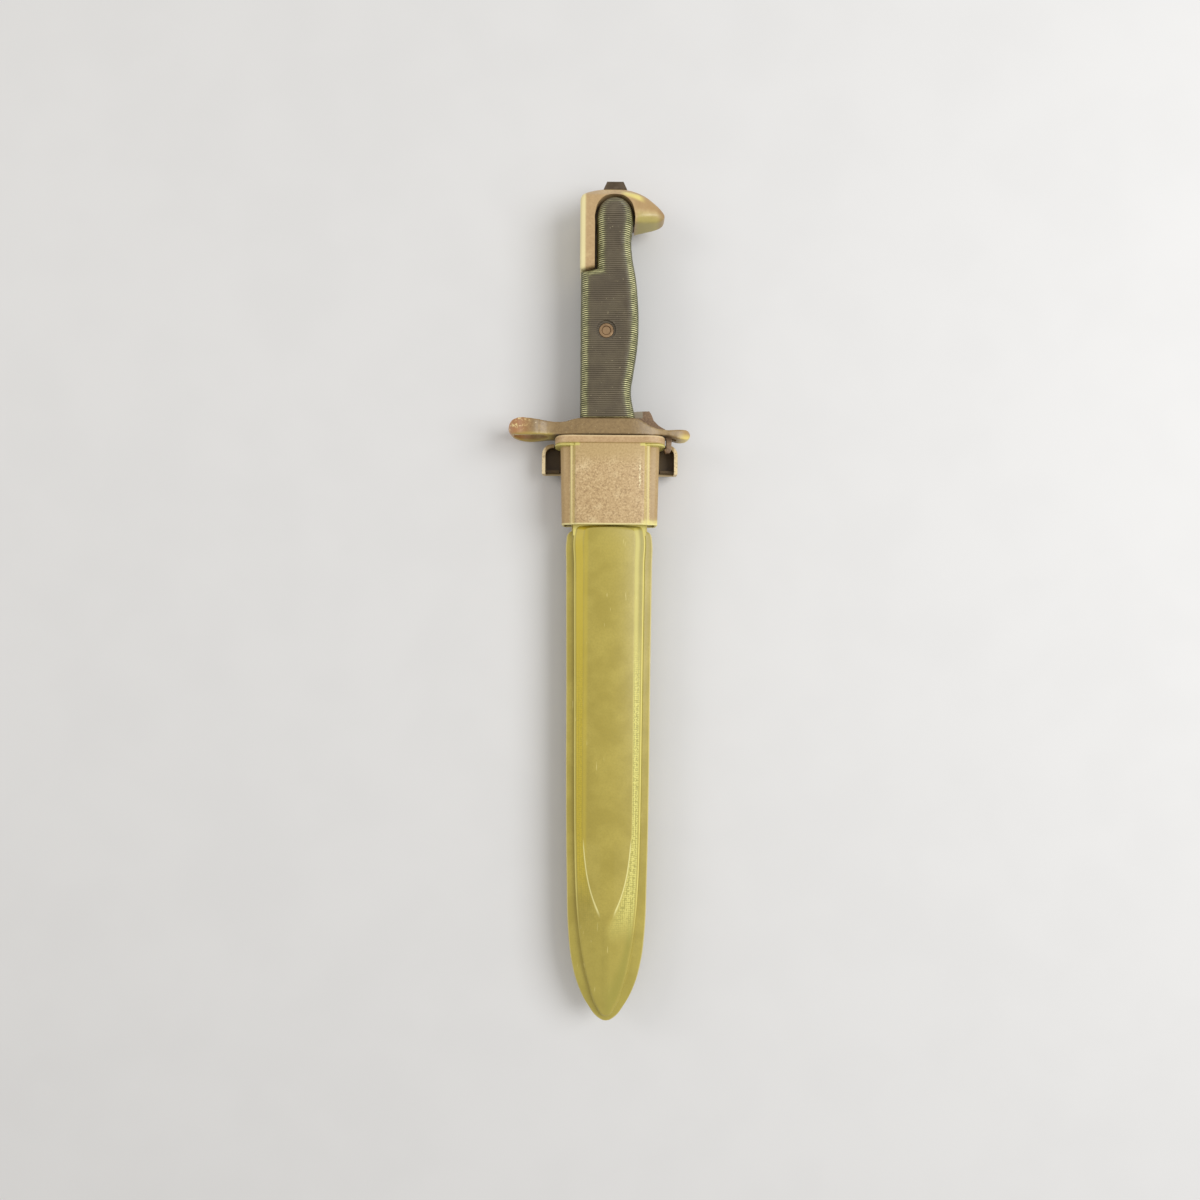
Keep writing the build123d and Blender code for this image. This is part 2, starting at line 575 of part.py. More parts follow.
# ---- Pommel ----
TEE_TOP_V = 120.0
BEAK_TIP_U = 25.2

with BuildPart() as pommel:
    with BuildSketch(facing(-POMMEL_HALF_T)):
        with BuildLine():
            beak = Spline([(9.0, 113.8), (16.4, 110.2), (22.0, 106.0), (24.8, 102.4)],
                          tangents=[(1, -0.35), (0, -1)])
            under = Spline([beak @ 1, (22.0, 99.4), (12.6, 98.0)], tangents=[(0, -1), (-1, -0.1)])
            Polyline(under @ 1, (9.5, BEAK_ROOT_V), (ARCH_U, BEAK_ROOT_V), (ARCH_U, RAIL_FOOT_V + 2.2),
                     (ARCH_U - ARCH_R - SHADOW_GAP, RAIL_FOOT_V + 1.6), (RAIL_BACK_U, RAIL_FOOT_V),
                     (RAIL_BACK_U, 108.6))
            crown = Spline([(RAIL_BACK_U, 108.6), (-13.2, 111.6), (-4.6, CROWN_V)],
                           tangents=[(0, 1), (1, 0.3)])
            Line(crown @ 1, beak @ 0)
        make_face()
    extrude(amount=2 * POMMEL_HALF_T)
    face_edges = pommel.edges().group_by(Axis.Z)
    chamfer(face_edges[0] + face_edges[-1], 1.3)
    # the crown slopes away to the front and to the back
    with BuildSketch(beside(RAIL_BACK_U)):
        slope_foot = (109.8, POMMEL_HALF_T)
        slope_top = (CROWN_V + 0.2, PEEN_BASE[1] / 2)
        with BuildLine():
            Polyline((RAIL_FOOT_V - 1, POMMEL_HALF_T), slope_foot, slope_top, (slope_top[0], -slope_top[1]),
                     (slope_foot[0], -slope_foot[1]), (RAIL_FOOT_V - 1, -POMMEL_HALF_T), close=True)
        make_face()
    extrude(amount=BEAK_TIP_U - RAIL_BACK_U, mode=Mode.INTERSECT)
    # opening round the arch of the scales, filled in the middle by the tang
    with BuildSketch(facing(-POMMEL_HALF_T)):
        arch_opening(SHADOW_GAP)
    extrude(amount=2 * POMMEL_HALF_T, mode=Mode.SUBTRACT)
    with BuildSketch(Plane(place(0, ARCH_V, 0), x_dir=(1, 0, 0), z_dir=(0, 1, 0))):
        with Locations((sum(STUB_SPAN_U) / 2, 0)):
            Rectangle(STUB_SPAN_U[1] - STUB_SPAN_U[0] + 0.1, 2 * TANG_HALF_T + 0.1)
    extrude(amount=20, mode=Mode.SUBTRACT)
    # T-slot along the back, open at the crown, with the way in for the latch tooth
    with BuildSketch(Plane(place(0, TEE_FOOT_V, 0), x_dir=(1, 0, 0), z_dir=(0, 1, 0))):
        with Locations((RAIL_BACK_U, 0)):
            Rectangle(2 * TEE_NECK_DEPTH, 2 * TEE_NECK_HALF)
        with Locations((RAIL_BACK_U + (TEE_NECK_DEPTH + TEE_DEPTH) / 2, 0)):
            Rectangle(TEE_DEPTH - TEE_NECK_DEPTH, 2 * TEE_HEAD_HALF)
    extrude(amount=TEE_TOP_V - TEE_FOOT_V, mode=Mode.SUBTRACT)
    with BuildSketch(facing(-MILLED_HALF - 0.15)):
        with Locations((-8.5, (TOOTH_FOOT_V + TOOTH_TOP_V) / 2)):
            Rectangle(3, TOOTH_TOP_V - TOOTH_FOOT_V + 1.2)
    extrude(amount=2 * MILLED_HALF + 0.3, mode=Mode.SUBTRACT)
finish(pommel.part, "pommel")


# ---- Grip scales, screw and nut ----
with BuildPart() as grip_front:
    with BuildSketch(facing(GRIP_SEAT_W)):
        grip_outline(0)
    extrude(amount=GRIP_FACE_W - GRIP_SEAT_W)
    fillet(grip_front.faces().sort_by(Axis.Z)[-1].edges(), 2.4)
    with BuildSketch(facing(GRIP_FACE_W - 1.0)):
        with Locations((SCREW_U, SCREW_V)):
            Circle(4.6)
    extrude(amount=2, mode=Mode.SUBTRACT)
    with BuildSketch(facing(HEAD_SEAT_W)):
        with Locations((SCREW_U, SCREW_V)):
            Circle(SCREW_HEAD_R + 0.1)
    extrude(amount=5, mode=Mode.SUBTRACT)
    with BuildSketch(facing(0)):
        with Locations((SCREW_U, SCREW_V)):
            Circle(SCREW_SHANK_R + 0.1)
    extrude(amount=15, mode=Mode.SUBTRACT)
finish(grip_front.part, "grip_front")

with BuildPart() as grip_back:
    mirror(grip_front.part, about=facing(0))
    with BuildSketch(facing(-GRIP_FACE_W)):
        with Locations((SCREW_U, SCREW_V)):
            Circle(NUT_SHANK_R + 0.1)
    extrude(amount=GRIP_FACE_W, mode=Mode.SUBTRACT)
    with BuildSketch(facing(-LATCH_PIN_END_W)):
        with Locations((LATCH_U, LATCH_V)):
            Circle(LATCH_PIN_R + 0.02)
    extrude(amount=LATCH_PIN_END_W, mode=Mode.SUBTRACT)
finish(grip_back.part, "grip_back")

with BuildPart() as grip_screw:
    with BuildSketch(facing(HEAD_SEAT_W)):
        with Locations((SCREW_U, SCREW_V)):
            Circle(SCREW_HEAD_R)
    extrude(amount=HEAD_TOP_W - HEAD_SEAT_W)
    fillet(grip_screw.edges().group_by(Axis.Z)[-1], 0.4)
    with BuildSketch(facing(HEAD_SEAT_W)):
        with Locations((SCREW_U, SCREW_V)):
            Circle(SCREW_SHANK_R)
    extrude(amount=-HEAD_SEAT_W - SCREW_END_W)
    with BuildSketch(facing(HEAD_TOP_W - 0.7)):
        with Locations((SCREW_U, SCREW_V)):
            Circle(2.1)
    extrude(amount=1, mode=Mode.SUBTRACT)
finish(grip_screw.part, "grip_screw")

with BuildPart() as grip_nut:
    with BuildSketch(facing(-HEAD_SEAT_W)):
        with Locations((SCREW_U, SCREW_V)):
            Circle(SCREW_HEAD_R)
    extrude(amount=HEAD_SEAT_W - HEAD_TOP_W)
    fillet(grip_nut.edges().group_by(Axis.Z)[0], 0.4)
    with BuildSketch(facing(-HEAD_SEAT_W)):
        with Locations((SCREW_U, SCREW_V)):
            Circle(NUT_SHANK_R)
    extrude(amount=HEAD_SEAT_W)
    with BuildSketch(facing(-SCREW_END_W - 0.3)):
        with Locations((SCREW_U, SCREW_V)):
            Circle(SCREW_SHANK_R + 0.03)
    extrude(amount=SCREW_END_W + 1, mode=Mode.SUBTRACT)
finish(grip_nut.part, "grip_nut")


# ---- Pivots and spring ----
with BuildPart() as catch_pivot_pin:
    with BuildSketch(facing(-6.4)):
        with Locations((CATCH_U, CATCH_V)):
            Circle(CATCH_PIN_R)
    extrude(amount=6.4 + 4.5)
finish(catch_pivot_pin.part, "catch_pivot_pin")

with BuildPart() as latch_pivot_pin:
    with BuildSketch(facing(-LATCH_PIN_END_W)):
        with Locations((LATCH_U, LATCH_V)):
            Circle(LATCH_PIN_R)
    extrude(amount=LATCH_PIN_END_W + TANG_HALF_T)
finish(latch_pivot_pin.part, "latch_pivot_pin")

with BuildPart() as latch_spring:
    spring_length = LATCH_LOW_U - SPRING_SEAT_U - 2 * SPRING_WIRE_R - 0.1
    spring_start = place(SPRING_SEAT_U + SPRING_WIRE_R + 0.05, SPRING_V, 0)
    with BuildLine() as coil:
        Helix(spring_length / 6, spring_length, SPRING_COIL_R, center=spring_start, direction=(1, 0, 0))
    with BuildSketch(Plane(coil.line @ 0, z_dir=coil.line % 0)):
        Circle(SPRING_WIRE_R)
    sweep(path=coil.line)
finish(latch_spring.part, "latch_spring")


# ---- Latch bar ----
with BuildPart() as latch_bar:
    with BuildSketch(facing(-LEVER_HALF_T)):
        with BuildLine():
            Polyline((LATCH_LOW_U, 9), (LATCH_HIGH_U, 9), (LATCH_HIGH_U, 56), (0.6, 84), (0.6, 103),
                     (-3.4, 103), (-3.4, TOOTH_TOP_V + 0.6), (-4.2, TOOTH_TOP_V),
                     (TOOTH_TIP_U, TOOTH_TOP_V - 0.4), (TOOTH_TIP_U, TOOTH_FOOT_V), (-3.4, TOOTH_FOOT_V),
                     (-3.4, 83), (LATCH_LOW_U, 51), close=True)
        make_face()
        with Locations((LATCH_U, LATCH_V)):
            Circle(3.0)
    extrude(amount=2 * LEVER_HALF_T)
    with BuildSketch(facing(-LEVER_HALF_T)):
        with Locations((LATCH_U, LATCH_V)):
            Circle(LATCH_PIN_R + PIVOT_CLEARANCE)
    extrude(amount=2 * LEVER_HALF_T, mode=Mode.SUBTRACT)
finish(latch_bar.part, "latch_bar")


# ---- Thumb catch ----
PAD_HALF_WIDTH = 4.5
PAD_CENTRE = (17.4, 11.1)
PAD_SIZE = (3.6, 3.8)

with BuildPart() as thumb_catch:
    with BuildSketch(facing(-LEVER_HALF_T)):
        with BuildLine():
            # from the end against the latch bar, over the crossguard and down through it to the nose
            Polyline((7.95, 9.4), (11.5, 8.8), (13.5, 7.2), (16.0, 5.6), (19.0, 4.3), (22.0, 2.6),
                     (24.0, 1.6), (25.4, 0.8), (26.3, -1.2), (26.3, -4.9), (25.25, -5.3), (26.0, -7.0),
                     (28.0, -6.9), (28.6, -5.6), (28.9, -0.6), (29.1, 1.6), (27.8, 2.8), (25.2, 4.2),
                     (22.6, 5.8), (20.4, 8.0), (19.2, 11.0), (18.2, 12.4), (9.6, 12.0), (9.6, 14),
                     (7.95, 14), close=True)
        make_face()
    extrude(amount=2 * LEVER_HALF_T)
    # thumb pad, wider than the lever
    with BuildSketch(facing(-PAD_HALF_WIDTH)):
        with Locations(PAD_CENTRE):
            RectangleRounded(*PAD_SIZE, 1.2)
    extrude(amount=2 * PAD_HALF_WIDTH)
    with BuildSketch(facing(-LEVER_HALF_T)):
        with Locations((CATCH_U, CATCH_V)):
            Circle(CATCH_PIN_R + PIVOT_CLEARANCE)
    extrude(amount=2 * LEVER_HALF_T, mode=Mode.SUBTRACT)
finish(thumb_catch.part, "thumb_catch")
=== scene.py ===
# %% [markdown]
# # A sheathed knife with a ribbed grip and a hooked pommel
#
# The object lies on its back on a pale floor. Its moving parts come from the engineering model,
# which loads first and is never changed. This notebook gives it its looks: the moulded grip and
# scabbard, the steel throat, the forged guard and pommel, the screw and the thumb catch are
# modelled again with soft edges, and every piece gets a finish made of nodes.

# %% Load the engineering model
import math
import bpy
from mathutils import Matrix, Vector


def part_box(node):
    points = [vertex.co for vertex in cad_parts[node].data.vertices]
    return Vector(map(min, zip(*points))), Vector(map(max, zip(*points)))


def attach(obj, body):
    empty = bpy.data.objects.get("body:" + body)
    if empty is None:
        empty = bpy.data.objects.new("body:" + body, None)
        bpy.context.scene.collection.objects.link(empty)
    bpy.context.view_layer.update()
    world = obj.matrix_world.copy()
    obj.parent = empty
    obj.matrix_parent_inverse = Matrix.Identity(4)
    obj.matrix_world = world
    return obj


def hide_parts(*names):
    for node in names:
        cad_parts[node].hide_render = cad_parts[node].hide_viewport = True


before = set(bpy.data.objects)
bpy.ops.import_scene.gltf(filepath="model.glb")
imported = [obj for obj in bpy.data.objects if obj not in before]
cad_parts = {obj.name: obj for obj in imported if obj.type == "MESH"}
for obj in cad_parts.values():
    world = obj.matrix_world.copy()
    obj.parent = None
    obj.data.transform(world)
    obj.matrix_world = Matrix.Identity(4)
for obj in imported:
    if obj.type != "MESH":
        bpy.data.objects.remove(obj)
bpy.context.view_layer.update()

# %% [markdown]
# ## Where things are
#
# All modelling is done in millimetres round the blade's own axes, because that is how a maker
# would measure it: u across the blade, v along it from the underside of the guard, and w towards
# the front. Each finished piece is then shrunk to metres and carried to its place. The place is
# read from two pieces of the engineering model, so nothing has to be fitted by eye.

# %% The blade's axes
MM = 0.001
GUARD_GAP = 0.3
shell_low, shell_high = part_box("sheath_front_shell")
plate_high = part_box("mouth_flange")[1]
AXIS_X = (shell_low.x + shell_high.x) / 2
GUARD_Y = plate_high.y + GUARD_GAP * MM
MID_Z = shell_low.z
HOME = Vector((AXIS_X, GUARD_Y, MID_Z))
print("blade axes meet at", [round(c, 5) for c in HOME])


# %% [markdown]
# ## Workbench
#
# A few helpers stand for the steps a modeller repeats by hand: choose one object, pick points by
# their place, turn a drawn outline into a plate with rounded edges, and cut one shape with
# another. A plate starts as a flat curve, because a curve rounds its own edges evenly.

# %% Choosing and placing
def alone(piece):
    """Leaves edit mode, and selects and activates one object only."""
    if bpy.context.object and bpy.context.object.mode != "OBJECT":
        bpy.ops.object.mode_set(mode="OBJECT")
    bpy.ops.object.select_all(action="DESELECT")
    piece.select_set(True)
    bpy.context.view_layer.objects.active = piece


def pick(piece, test):
    """Opens the piece in edit mode with only the points chosen that pass the test."""
    alone(piece)
    bpy.ops.object.mode_set(mode="EDIT")
    bpy.ops.mesh.select_mode(type="VERT")
    bpy.ops.mesh.select_all(action="DESELECT")
    bpy.ops.object.mode_set(mode="OBJECT")
    for point in piece.data.vertices:
        point.select = bool(test(point.co))
    chosen = sum(point.select for point in piece.data.vertices)
    bpy.ops.object.mode_set(mode="EDIT")
    return chosen


def apply_all(piece):
    """Applies every modifier of a piece, in order."""
    alone(piece)
    for modifier in list(piece.modifiers):
        bpy.ops.object.modifier_apply(modifier=modifier.name)


def outward(piece):
    """Merges doubles and turns all faces outwards."""
    alone(piece)
    bpy.ops.object.mode_set(mode="EDIT")
    bpy.ops.mesh.select_all(action="SELECT")
    bpy.ops.mesh.remove_doubles(threshold=0.001)
    bpy.ops.mesh.normals_make_consistent(inside=False)
    bpy.ops.object.mode_set(mode="OBJECT")


def join(name, *pieces):
    """Joins several meshes into the first one."""
    alone(pieces[0])
    for piece in pieces[1:]:
        piece.select_set(True)
    bpy.ops.object.join()
    pieces[0].name = name
    return pieces[0]


# %% Outlines and plates
FACINGS = {"front": (0, 0, 0), "top": (90, 0, 0)}
EDGE_STEPS = 4


def outline(name, loops, facing, middle, fill, depth=0.0, rounding=0.0, steps=12):
    """A flat curve made a mesh. A loop is a list of (x, y) corners or (x, y, "s") smooth points."""
    curve = bpy.data.curves.new(name, "CURVE")
    curve.dimensions = "2D"
    curve.fill_mode = "BOTH" if fill else "NONE"
    curve.resolution_u = steps
    curve.render_resolution_u = steps
    curve.extrude = max(depth / 2 - rounding, 0)
    curve.bevel_depth = rounding
    curve.bevel_resolution = EDGE_STEPS
    curve.offset = -rounding
    for loop in loops:
        spline = curve.splines.new("BEZIER")
        spline.bezier_points.add(len(loop) - 1)
        spline.use_cyclic_u = True
        for knot, point in zip(spline.bezier_points, loop):
            knot.co = (point[0], point[1], 0)
            kind = "AUTO" if len(point) == 3 else "VECTOR"
            knot.handle_left_type = kind
            knot.handle_right_type = kind
    piece = bpy.data.objects.new(name, curve)
    bpy.context.scene.collection.objects.link(piece)
    alone(piece)
    turn = [math.radians(angle) for angle in FACINGS[facing]]
    piece.rotation_euler = turn
    piece.location = (0, 0, middle) if facing == "front" else (0, middle, 0)
    bpy.ops.object.convert(target="MESH")
    piece = bpy.context.object
    bpy.ops.object.transform_apply(location=True, rotation=True, scale=True)
    return piece


def plate(name, loops, facing, low, high, rounding=0.0, steps=12):
    """A solid plate between two levels, with rounded edges."""
    piece = outline(name, loops, facing, (low + high) / 2, True, high - low, rounding, steps)
    outward(piece)
    return piece


def rod(radius, depth, middle, corners, facing="front"):
    """A cylinder round its middle (u, v, w), with its axis along w, or along v when it faces top."""
    turn = [math.radians(angle) for angle in FACINGS[facing]]
    bpy.ops.object.select_all(action="DESELECT")
    bpy.ops.mesh.primitive_cylinder_add(vertices=corners, radius=radius, depth=depth, location=middle,
                                        rotation=turn)
    bpy.ops.object.transform_apply(location=True, rotation=True, scale=True)
    return bpy.context.object


def block(name, low, high):
    """A box between two corners, each (u, v, w)."""
    size = [b - a for a, b in zip(low, high)]
    centre = [(a + b) / 2 for a, b in zip(low, high)]
    bpy.ops.object.select_all(action="DESELECT")
    bpy.ops.mesh.primitive_cube_add(size=1, location=centre)
    piece = bpy.context.object
    piece.name = name
    piece.scale = size
    bpy.ops.object.transform_apply(location=True, rotation=True, scale=True)
    return piece


# %% Cutting, melting and seating
def combine(piece, other, how):
    """Unites, cuts or intersects a piece with another, which is used up."""
    modifier = piece.modifiers.new("combine", "BOOLEAN")
    modifier.operation = how
    modifier.solver = "EXACT"
    modifier.object = other
    apply_all(piece)
    bpy.data.objects.remove(other, do_unlink=True)
    return piece


def melt(piece, voxel, passes):
    """Softens a forged shape: an even skin of small faces, then smoothing."""
    remesh = piece.modifiers.new("skin", "REMESH")
    remesh.mode = "VOXEL"
    remesh.voxel_size = voxel
    remesh.use_smooth_shade = True
    soften = piece.modifiers.new("soften", "SMOOTH")
    soften.factor = 0.5
    soften.iterations = passes
    apply_all(piece)
    return piece


def seat(piece, body, replaced, finish, angle=35):
    """Carries a finished piece to its place, gives it its finish, hides the parts it replaces, and says what
    it is and what it rides on.
    """
    alone(piece)
    piece.scale = (MM, MM, MM)
    piece.location = HOME
    bpy.ops.object.transform_apply(location=True, rotation=True, scale=True)
    bpy.ops.object.shade_smooth_by_angle(angle=math.radians(angle))
    piece.data.materials.clear()
    piece.data.materials.append(finish)
    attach(piece, body)
    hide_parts(*replaced)
    triangles = sum(len(face.vertices) - 2 for face in piece.data.polygons)
    heights = [(point.co.z - MID_Z) / MM for point in piece.data.vertices]
    print(piece.name, "rides on", body, "with", triangles, "triangles, w from",
          round(min(heights), 2), "to", round(max(heights), 2))


# %% [markdown]
# ## Shader arithmetic
#
# A finish is arithmetic on places: how far across, how far along, how deep. One small class wraps
# a socket, so that an expression such as 1 - mask adds its own Math nodes. All other nodes come
# from its one method. Places are in the blade's millimetres, so a grain size is simply written
# in millimetres.

# %% The Signal class
class Signal:
    """A socket in a material that is used in expressions like a number."""

    def __init__(self, tree, socket=None):
        self.tree = tree
        self.socket = socket

    def node(self, kind, settings, sockets, out=0):
        """Adds a node: its settings first, then the values or links of its sockets."""
        made = self.tree.nodes.new(kind)
        for key, value in settings.items():
            if key == "stops":
                ramp = made.color_ramp
                while len(ramp.elements) < len(value):
                    ramp.elements.new(1.0)
                for element, (place, colour) in zip(ramp.elements, value):
                    element.position = place
                    element.color = colour
            else:
                setattr(made, key, value)
        for key, value in sockets.items():
            if isinstance(value, Signal):
                self.tree.links.new(value.socket, made.inputs[key])
            else:
                made.inputs[key].default_value = value
        return Signal(self.tree, made.outputs[out] if len(made.outputs) else None)

    def math(self, operation, first, second):
        return self.node("ShaderNodeMath", {"operation": operation}, {0: first, 1: second})

    def __add__(self, other):
        return self.math("ADD", self, other)

    def __sub__(self, other):
        return self.math("SUBTRACT", self, other)

    def __rsub__(self, other):
        return self.math("SUBTRACT", other, self)

    def __mul__(self, other):
        return self.math("MULTIPLY", self, other)

    def __abs__(self):
        return self.math("ABSOLUTE", self, 0.0)

    __radd__ = __add__
    __rmul__ = __mul__


# %% Masks and colours
def shade(red, green, blue):
    """A colour given in screen values, as the light-linear colour that shaders take."""
    return tuple((c / 255) ** 2.2 for c in (red, green, blue)) + (1.0,)


def rise(x, low, high):
    """0 below low, 1 above high, smooth between them."""
    return x.node("ShaderNodeMapRange", {"interpolation_type": "SMOOTHSTEP"},
                  {"Value": x, "From Min": low, "From Max": high})


def band(x, low, high, soft):
    """1 between low and high, 0 outside, with soft ends."""
    return rise(x, low - soft, low + soft) * (1 - rise(x, high - soft, high + soft))


def cloud(place, size, detail=3.0, roughness=0.55, stretch=(1, 1, 1)):
    """Cloudy noise from 0 to 1 whose spots are about size millimetres across."""
    spread = place.node("ShaderNodeVectorMath", {"operation": "MULTIPLY"}, {0: place, 1: stretch})
    return place.node("ShaderNodeTexNoise", {},
                      {"Vector": spread, "Scale": 1 / size, "Detail": detail, "Roughness": roughness})


def blend(mask, under, over):
    """The colour under, covered by the colour over where the mask is 1."""
    return mask.node("ShaderNodeMix", {"data_type": "RGBA"}, {0: mask, 6: under, 7: over}, out=2)


def begin(name):
    """A new material. Gives it, and the place as a vector and as u, v and w in millimetres."""
    material = bpy.data.materials.new(name)
    material.use_nodes = True
    material.node_tree.nodes.clear()
    bench = Signal(material.node_tree)
    raw = bench.node("ShaderNodeTexCoord", {}, {}, out="Object")
    shift = [-c / MM for c in HOME]
    place = bench.node("ShaderNodeMapping", {},
                       {"Vector": raw, "Location": shift, "Scale": (1 / MM, 1 / MM, 1 / MM)})
    u, v, w = [place.node("ShaderNodeSeparateXYZ", {}, {0: place}, out=i) for i in range(3)]
    return material, place, u, v, w


def complete(place, colour, roughness, height, relief, metallic=0.0, coat=0.0, specular=0.5):
    """Joins colour, roughness and relief (in millimetres for a height of 1) to the surface."""
    normal = place.node("ShaderNodeBump", {}, {"Height": height, "Distance": relief * MM, "Strength": 1.0})
    surface = place.node("ShaderNodeBsdfPrincipled", {},
                         {"Base Color": colour, "Roughness": roughness, "Normal": normal,
                          "Metallic": metallic, "Coat Weight": coat, "Coat Roughness": 0.25,
                          "Specular IOR Level": specular})
    place.node("ShaderNodeOutputMaterial", {}, {"Surface": surface})


# %% [markdown]
# ## Finishes
#
# The scabbard is a moulded plastic shell, olive yellow, a little glossy, with a faint mottle
# and some pale scratches. Its left sloping side is painted a darker, stronger yellow as shade,
# the right one carries a pale band of painted light and darker green painted shade, and towards
# the tip their moulding shows a fine pebbled grain. The crests, the outer rim and the lines round
# the panel's point get painted highlights. Fine grain goes mostly into the bump, and broad
# variation mostly into the colour.

# %% Scabbard shell
def shell_finish():
    material, place, u, v, w = begin("olive_moulded_shell")
    broad = cloud(place, 14, 2.0)
    fine = cloud(place, 0.9, 4.0, 0.65)
    colour = blend(rise(broad, 0.35, 0.65), shade(166, 150, 66), shade(178, 162, 76))
    colour = blend(rise(fine, 0.35, 0.75) * 0.35, colour, shade(150, 136, 58))
    # the sloping sides, told from the panel and the flange by their height
    slope = rise(w, 4.5, 4.9) * (1 - rise(w, 6.4, 6.95))
    body = rise(v, -222, -192)
    left = 1 - rise(u, -3, 3)
    # painted shade: the left slope is a darker, stronger yellow, and a soft band of the panel beside it
    # follows
    colour = blend(slope * left * body * 0.8, colour, shade(204, 182, 52))
    inner = band(u, -12.0, -9.8, 0.8) * rise(w, 6.6, 6.95) * body
    colour = blend(inner * 0.5, colour, shade(196, 176, 62))
    # on the right slope, a pale band of painted light near the panel and darker green painted shade near the
    # crest
    colour = blend(slope * (1 - left) * body * rise(w, 5.2, 6.0) * 0.7, colour, shade(204, 194, 104))
    colour = blend(slope * (1 - left) * (1 - rise(w, 5.0, 5.6)) * 0.6, colour, shade(144, 138, 56))
    # painted highlight along the crests towards the tip
    crest = band(w, 3.9, 4.5, 0.12) * rise(v, -242, -206)
    colour = blend(crest * 0.8, colour, shade(228, 216, 124))
    # painted highlight on the lines that run round the panel's point
    point_line_highlight = band(w, 6.72, 6.96, 0.05) * band(v, -221, -188, 3) * rise(abs(u), 2.4, 4.2)
    colour = blend(point_line_highlight * 0.8, colour, shade(236, 228, 156))
    # painted highlight along the flange's outer rim
    rim = band(w, 1.4, 2.3, 0.1)
    colour = blend(rim * 0.7, colour, shade(222, 206, 138))
    foot = band(w, 2.5, 3.6, 0.1) * body
    colour = blend(foot * 0.3, colour, shade(140, 128, 54))
    low = 1 - rise(v, -262, -215)
    colour = blend(low * 0.35, colour, shade(164, 154, 70))
    # pale scratches, long and thin, on a slant
    scratch = cloud(place, 3.0, 2.0, 0.4, (3.2, 0.35, 1))
    scratch_mask = rise(scratch, 0.70, 0.74) * rise(cloud(place, 22, 1.0), 0.5, 0.62)
    colour = blend(scratch_mask * 0.5, colour, shade(226, 214, 140))
    # pebbled grain on both slopes, stronger on the right and towards the tip; on the right slope it is also
    # painted paler as light
    cells = place.node("ShaderNodeTexVoronoi", {}, {"Vector": place, "Scale": 1.05, "Randomness": 0.35})
    grain_mask = slope * (1 - rise(v, -130, -80)) * rise(v, -238, -215) * (1 - left * 0.6)
    colour = blend(grain_mask * (1 - left) * 0.75, colour, shade(224, 216, 122))
    specks = rise(cells, 0.42, 0.62) * grain_mask
    colour = blend(specks * 0.65, colour, shade(138, 130, 54))
    pebble = (1 - cells) * grain_mask
    height = fine * 0.5 + broad * 0.8 + pebble * 1.6
    roughness = 0.34 + fine * 0.16 + scratch_mask * 0.1
    complete(place, colour, roughness, height, 0.09, coat=0.15)
    return material


SHELL = shell_finish()
print("finish:", SHELL.name)

# %% [markdown]
# The steel throat of the scabbard is painted tan over olive, and the paint is rubbed into a
# dense speckle: dark pits, pale rubs, strongest in the lower two thirds. The side strips are
# browner, and the folds, the lower lip and the lower right corner get painted highlights. Two
# grain sizes added together look more like wear than one does.


# %% Painted steel
def paint_finish(name, base, dark, pale, speck_size, speck, place_rule=None, roughness=0.42, coat=0.1):
    """Worn paint on steel: a base colour with dark pits and pale rubs."""
    material, place, u, v, w = begin(name)
    grain = cloud(place, speck_size, 5.0, 0.72)
    smudge = cloud(place, speck_size * 9, 3.0, 0.6)
    colour = blend(rise(smudge, 0.35, 0.65), base, blend(rise(smudge, 0.5, 0.8), base, pale))
    colour = blend(rise(1 - grain, 0.50, 0.60) * speck, colour, dark)
    colour = blend(rise(grain, 0.54, 0.64) * speck, colour, pale)
    if place_rule:
        colour = place_rule(colour, grain, smudge, place, u, v, w)
    dents = cloud(place, 2.5, 2.0)
    height = grain * 0.6 + dents * 0.8
    complete(place, colour, roughness + grain * 0.14, height, 0.07, coat=coat)
    return material


def sleeve_rules(colour, grain, smudge, place, u, v, w):
    """Smooth and greener near the mouth, brown at the sides, with painted highlights along the folds, the
    lower lip and the lower right corner.
    """
    top = rise(v, -16, -7)
    colour = blend(top * 0.6, colour, shade(182, 156, 104))
    sides = rise(abs(u), 18.3, 19.0)
    colour = blend(sides * 0.7, colour, shade(166, 138, 92))
    # painted highlight along the folds beside the panel
    fold_highlight = band(abs(u), 17.2, 18.2, 0.25)
    colour = blend(fold_highlight * 0.75, colour, shade(226, 212, 146))
    gutter = band(abs(u), 15.9, 17.0, 0.3)
    colour = blend(gutter * 0.45, colour, shade(196, 180, 96))
    # painted highlight along the sleeve's lower lip
    lip = 1 - rise(v, -40.9, -40.2)
    colour = blend(lip * 0.8, colour, shade(236, 226, 160))
    rim = rise(v, -5.3, -5.0) * rise(abs(u), 13.4, 14.2)
    colour = blend(rim * 0.75, colour, shade(210, 202, 112))
    scratch_u = abs(u - 13.4 - cloud(place, 3.0) * 0.8)
    scratch = (1 - rise(scratch_u, 0.2, 0.6)) * band(v, -24, -13, 1.5) * rise(grain, 0.4, 0.6)
    colour = blend(scratch, colour, shade(240, 228, 180))
    # painted highlight on the lower right corner, broken up by the smudge
    corner = rise(u, 13.5, 16.0) * (1 - rise(v, -40, -37.5)) * rise(smudge, 0.3, 0.6)
    return blend(corner * 0.8, colour, shade(232, 222, 140))


SLEEVE = paint_finish("speckled_tan_paint", shade(192, 163, 118), shade(150, 120, 84), shade(220, 196, 150),
                      0.85, 0.72, sleeve_rules)


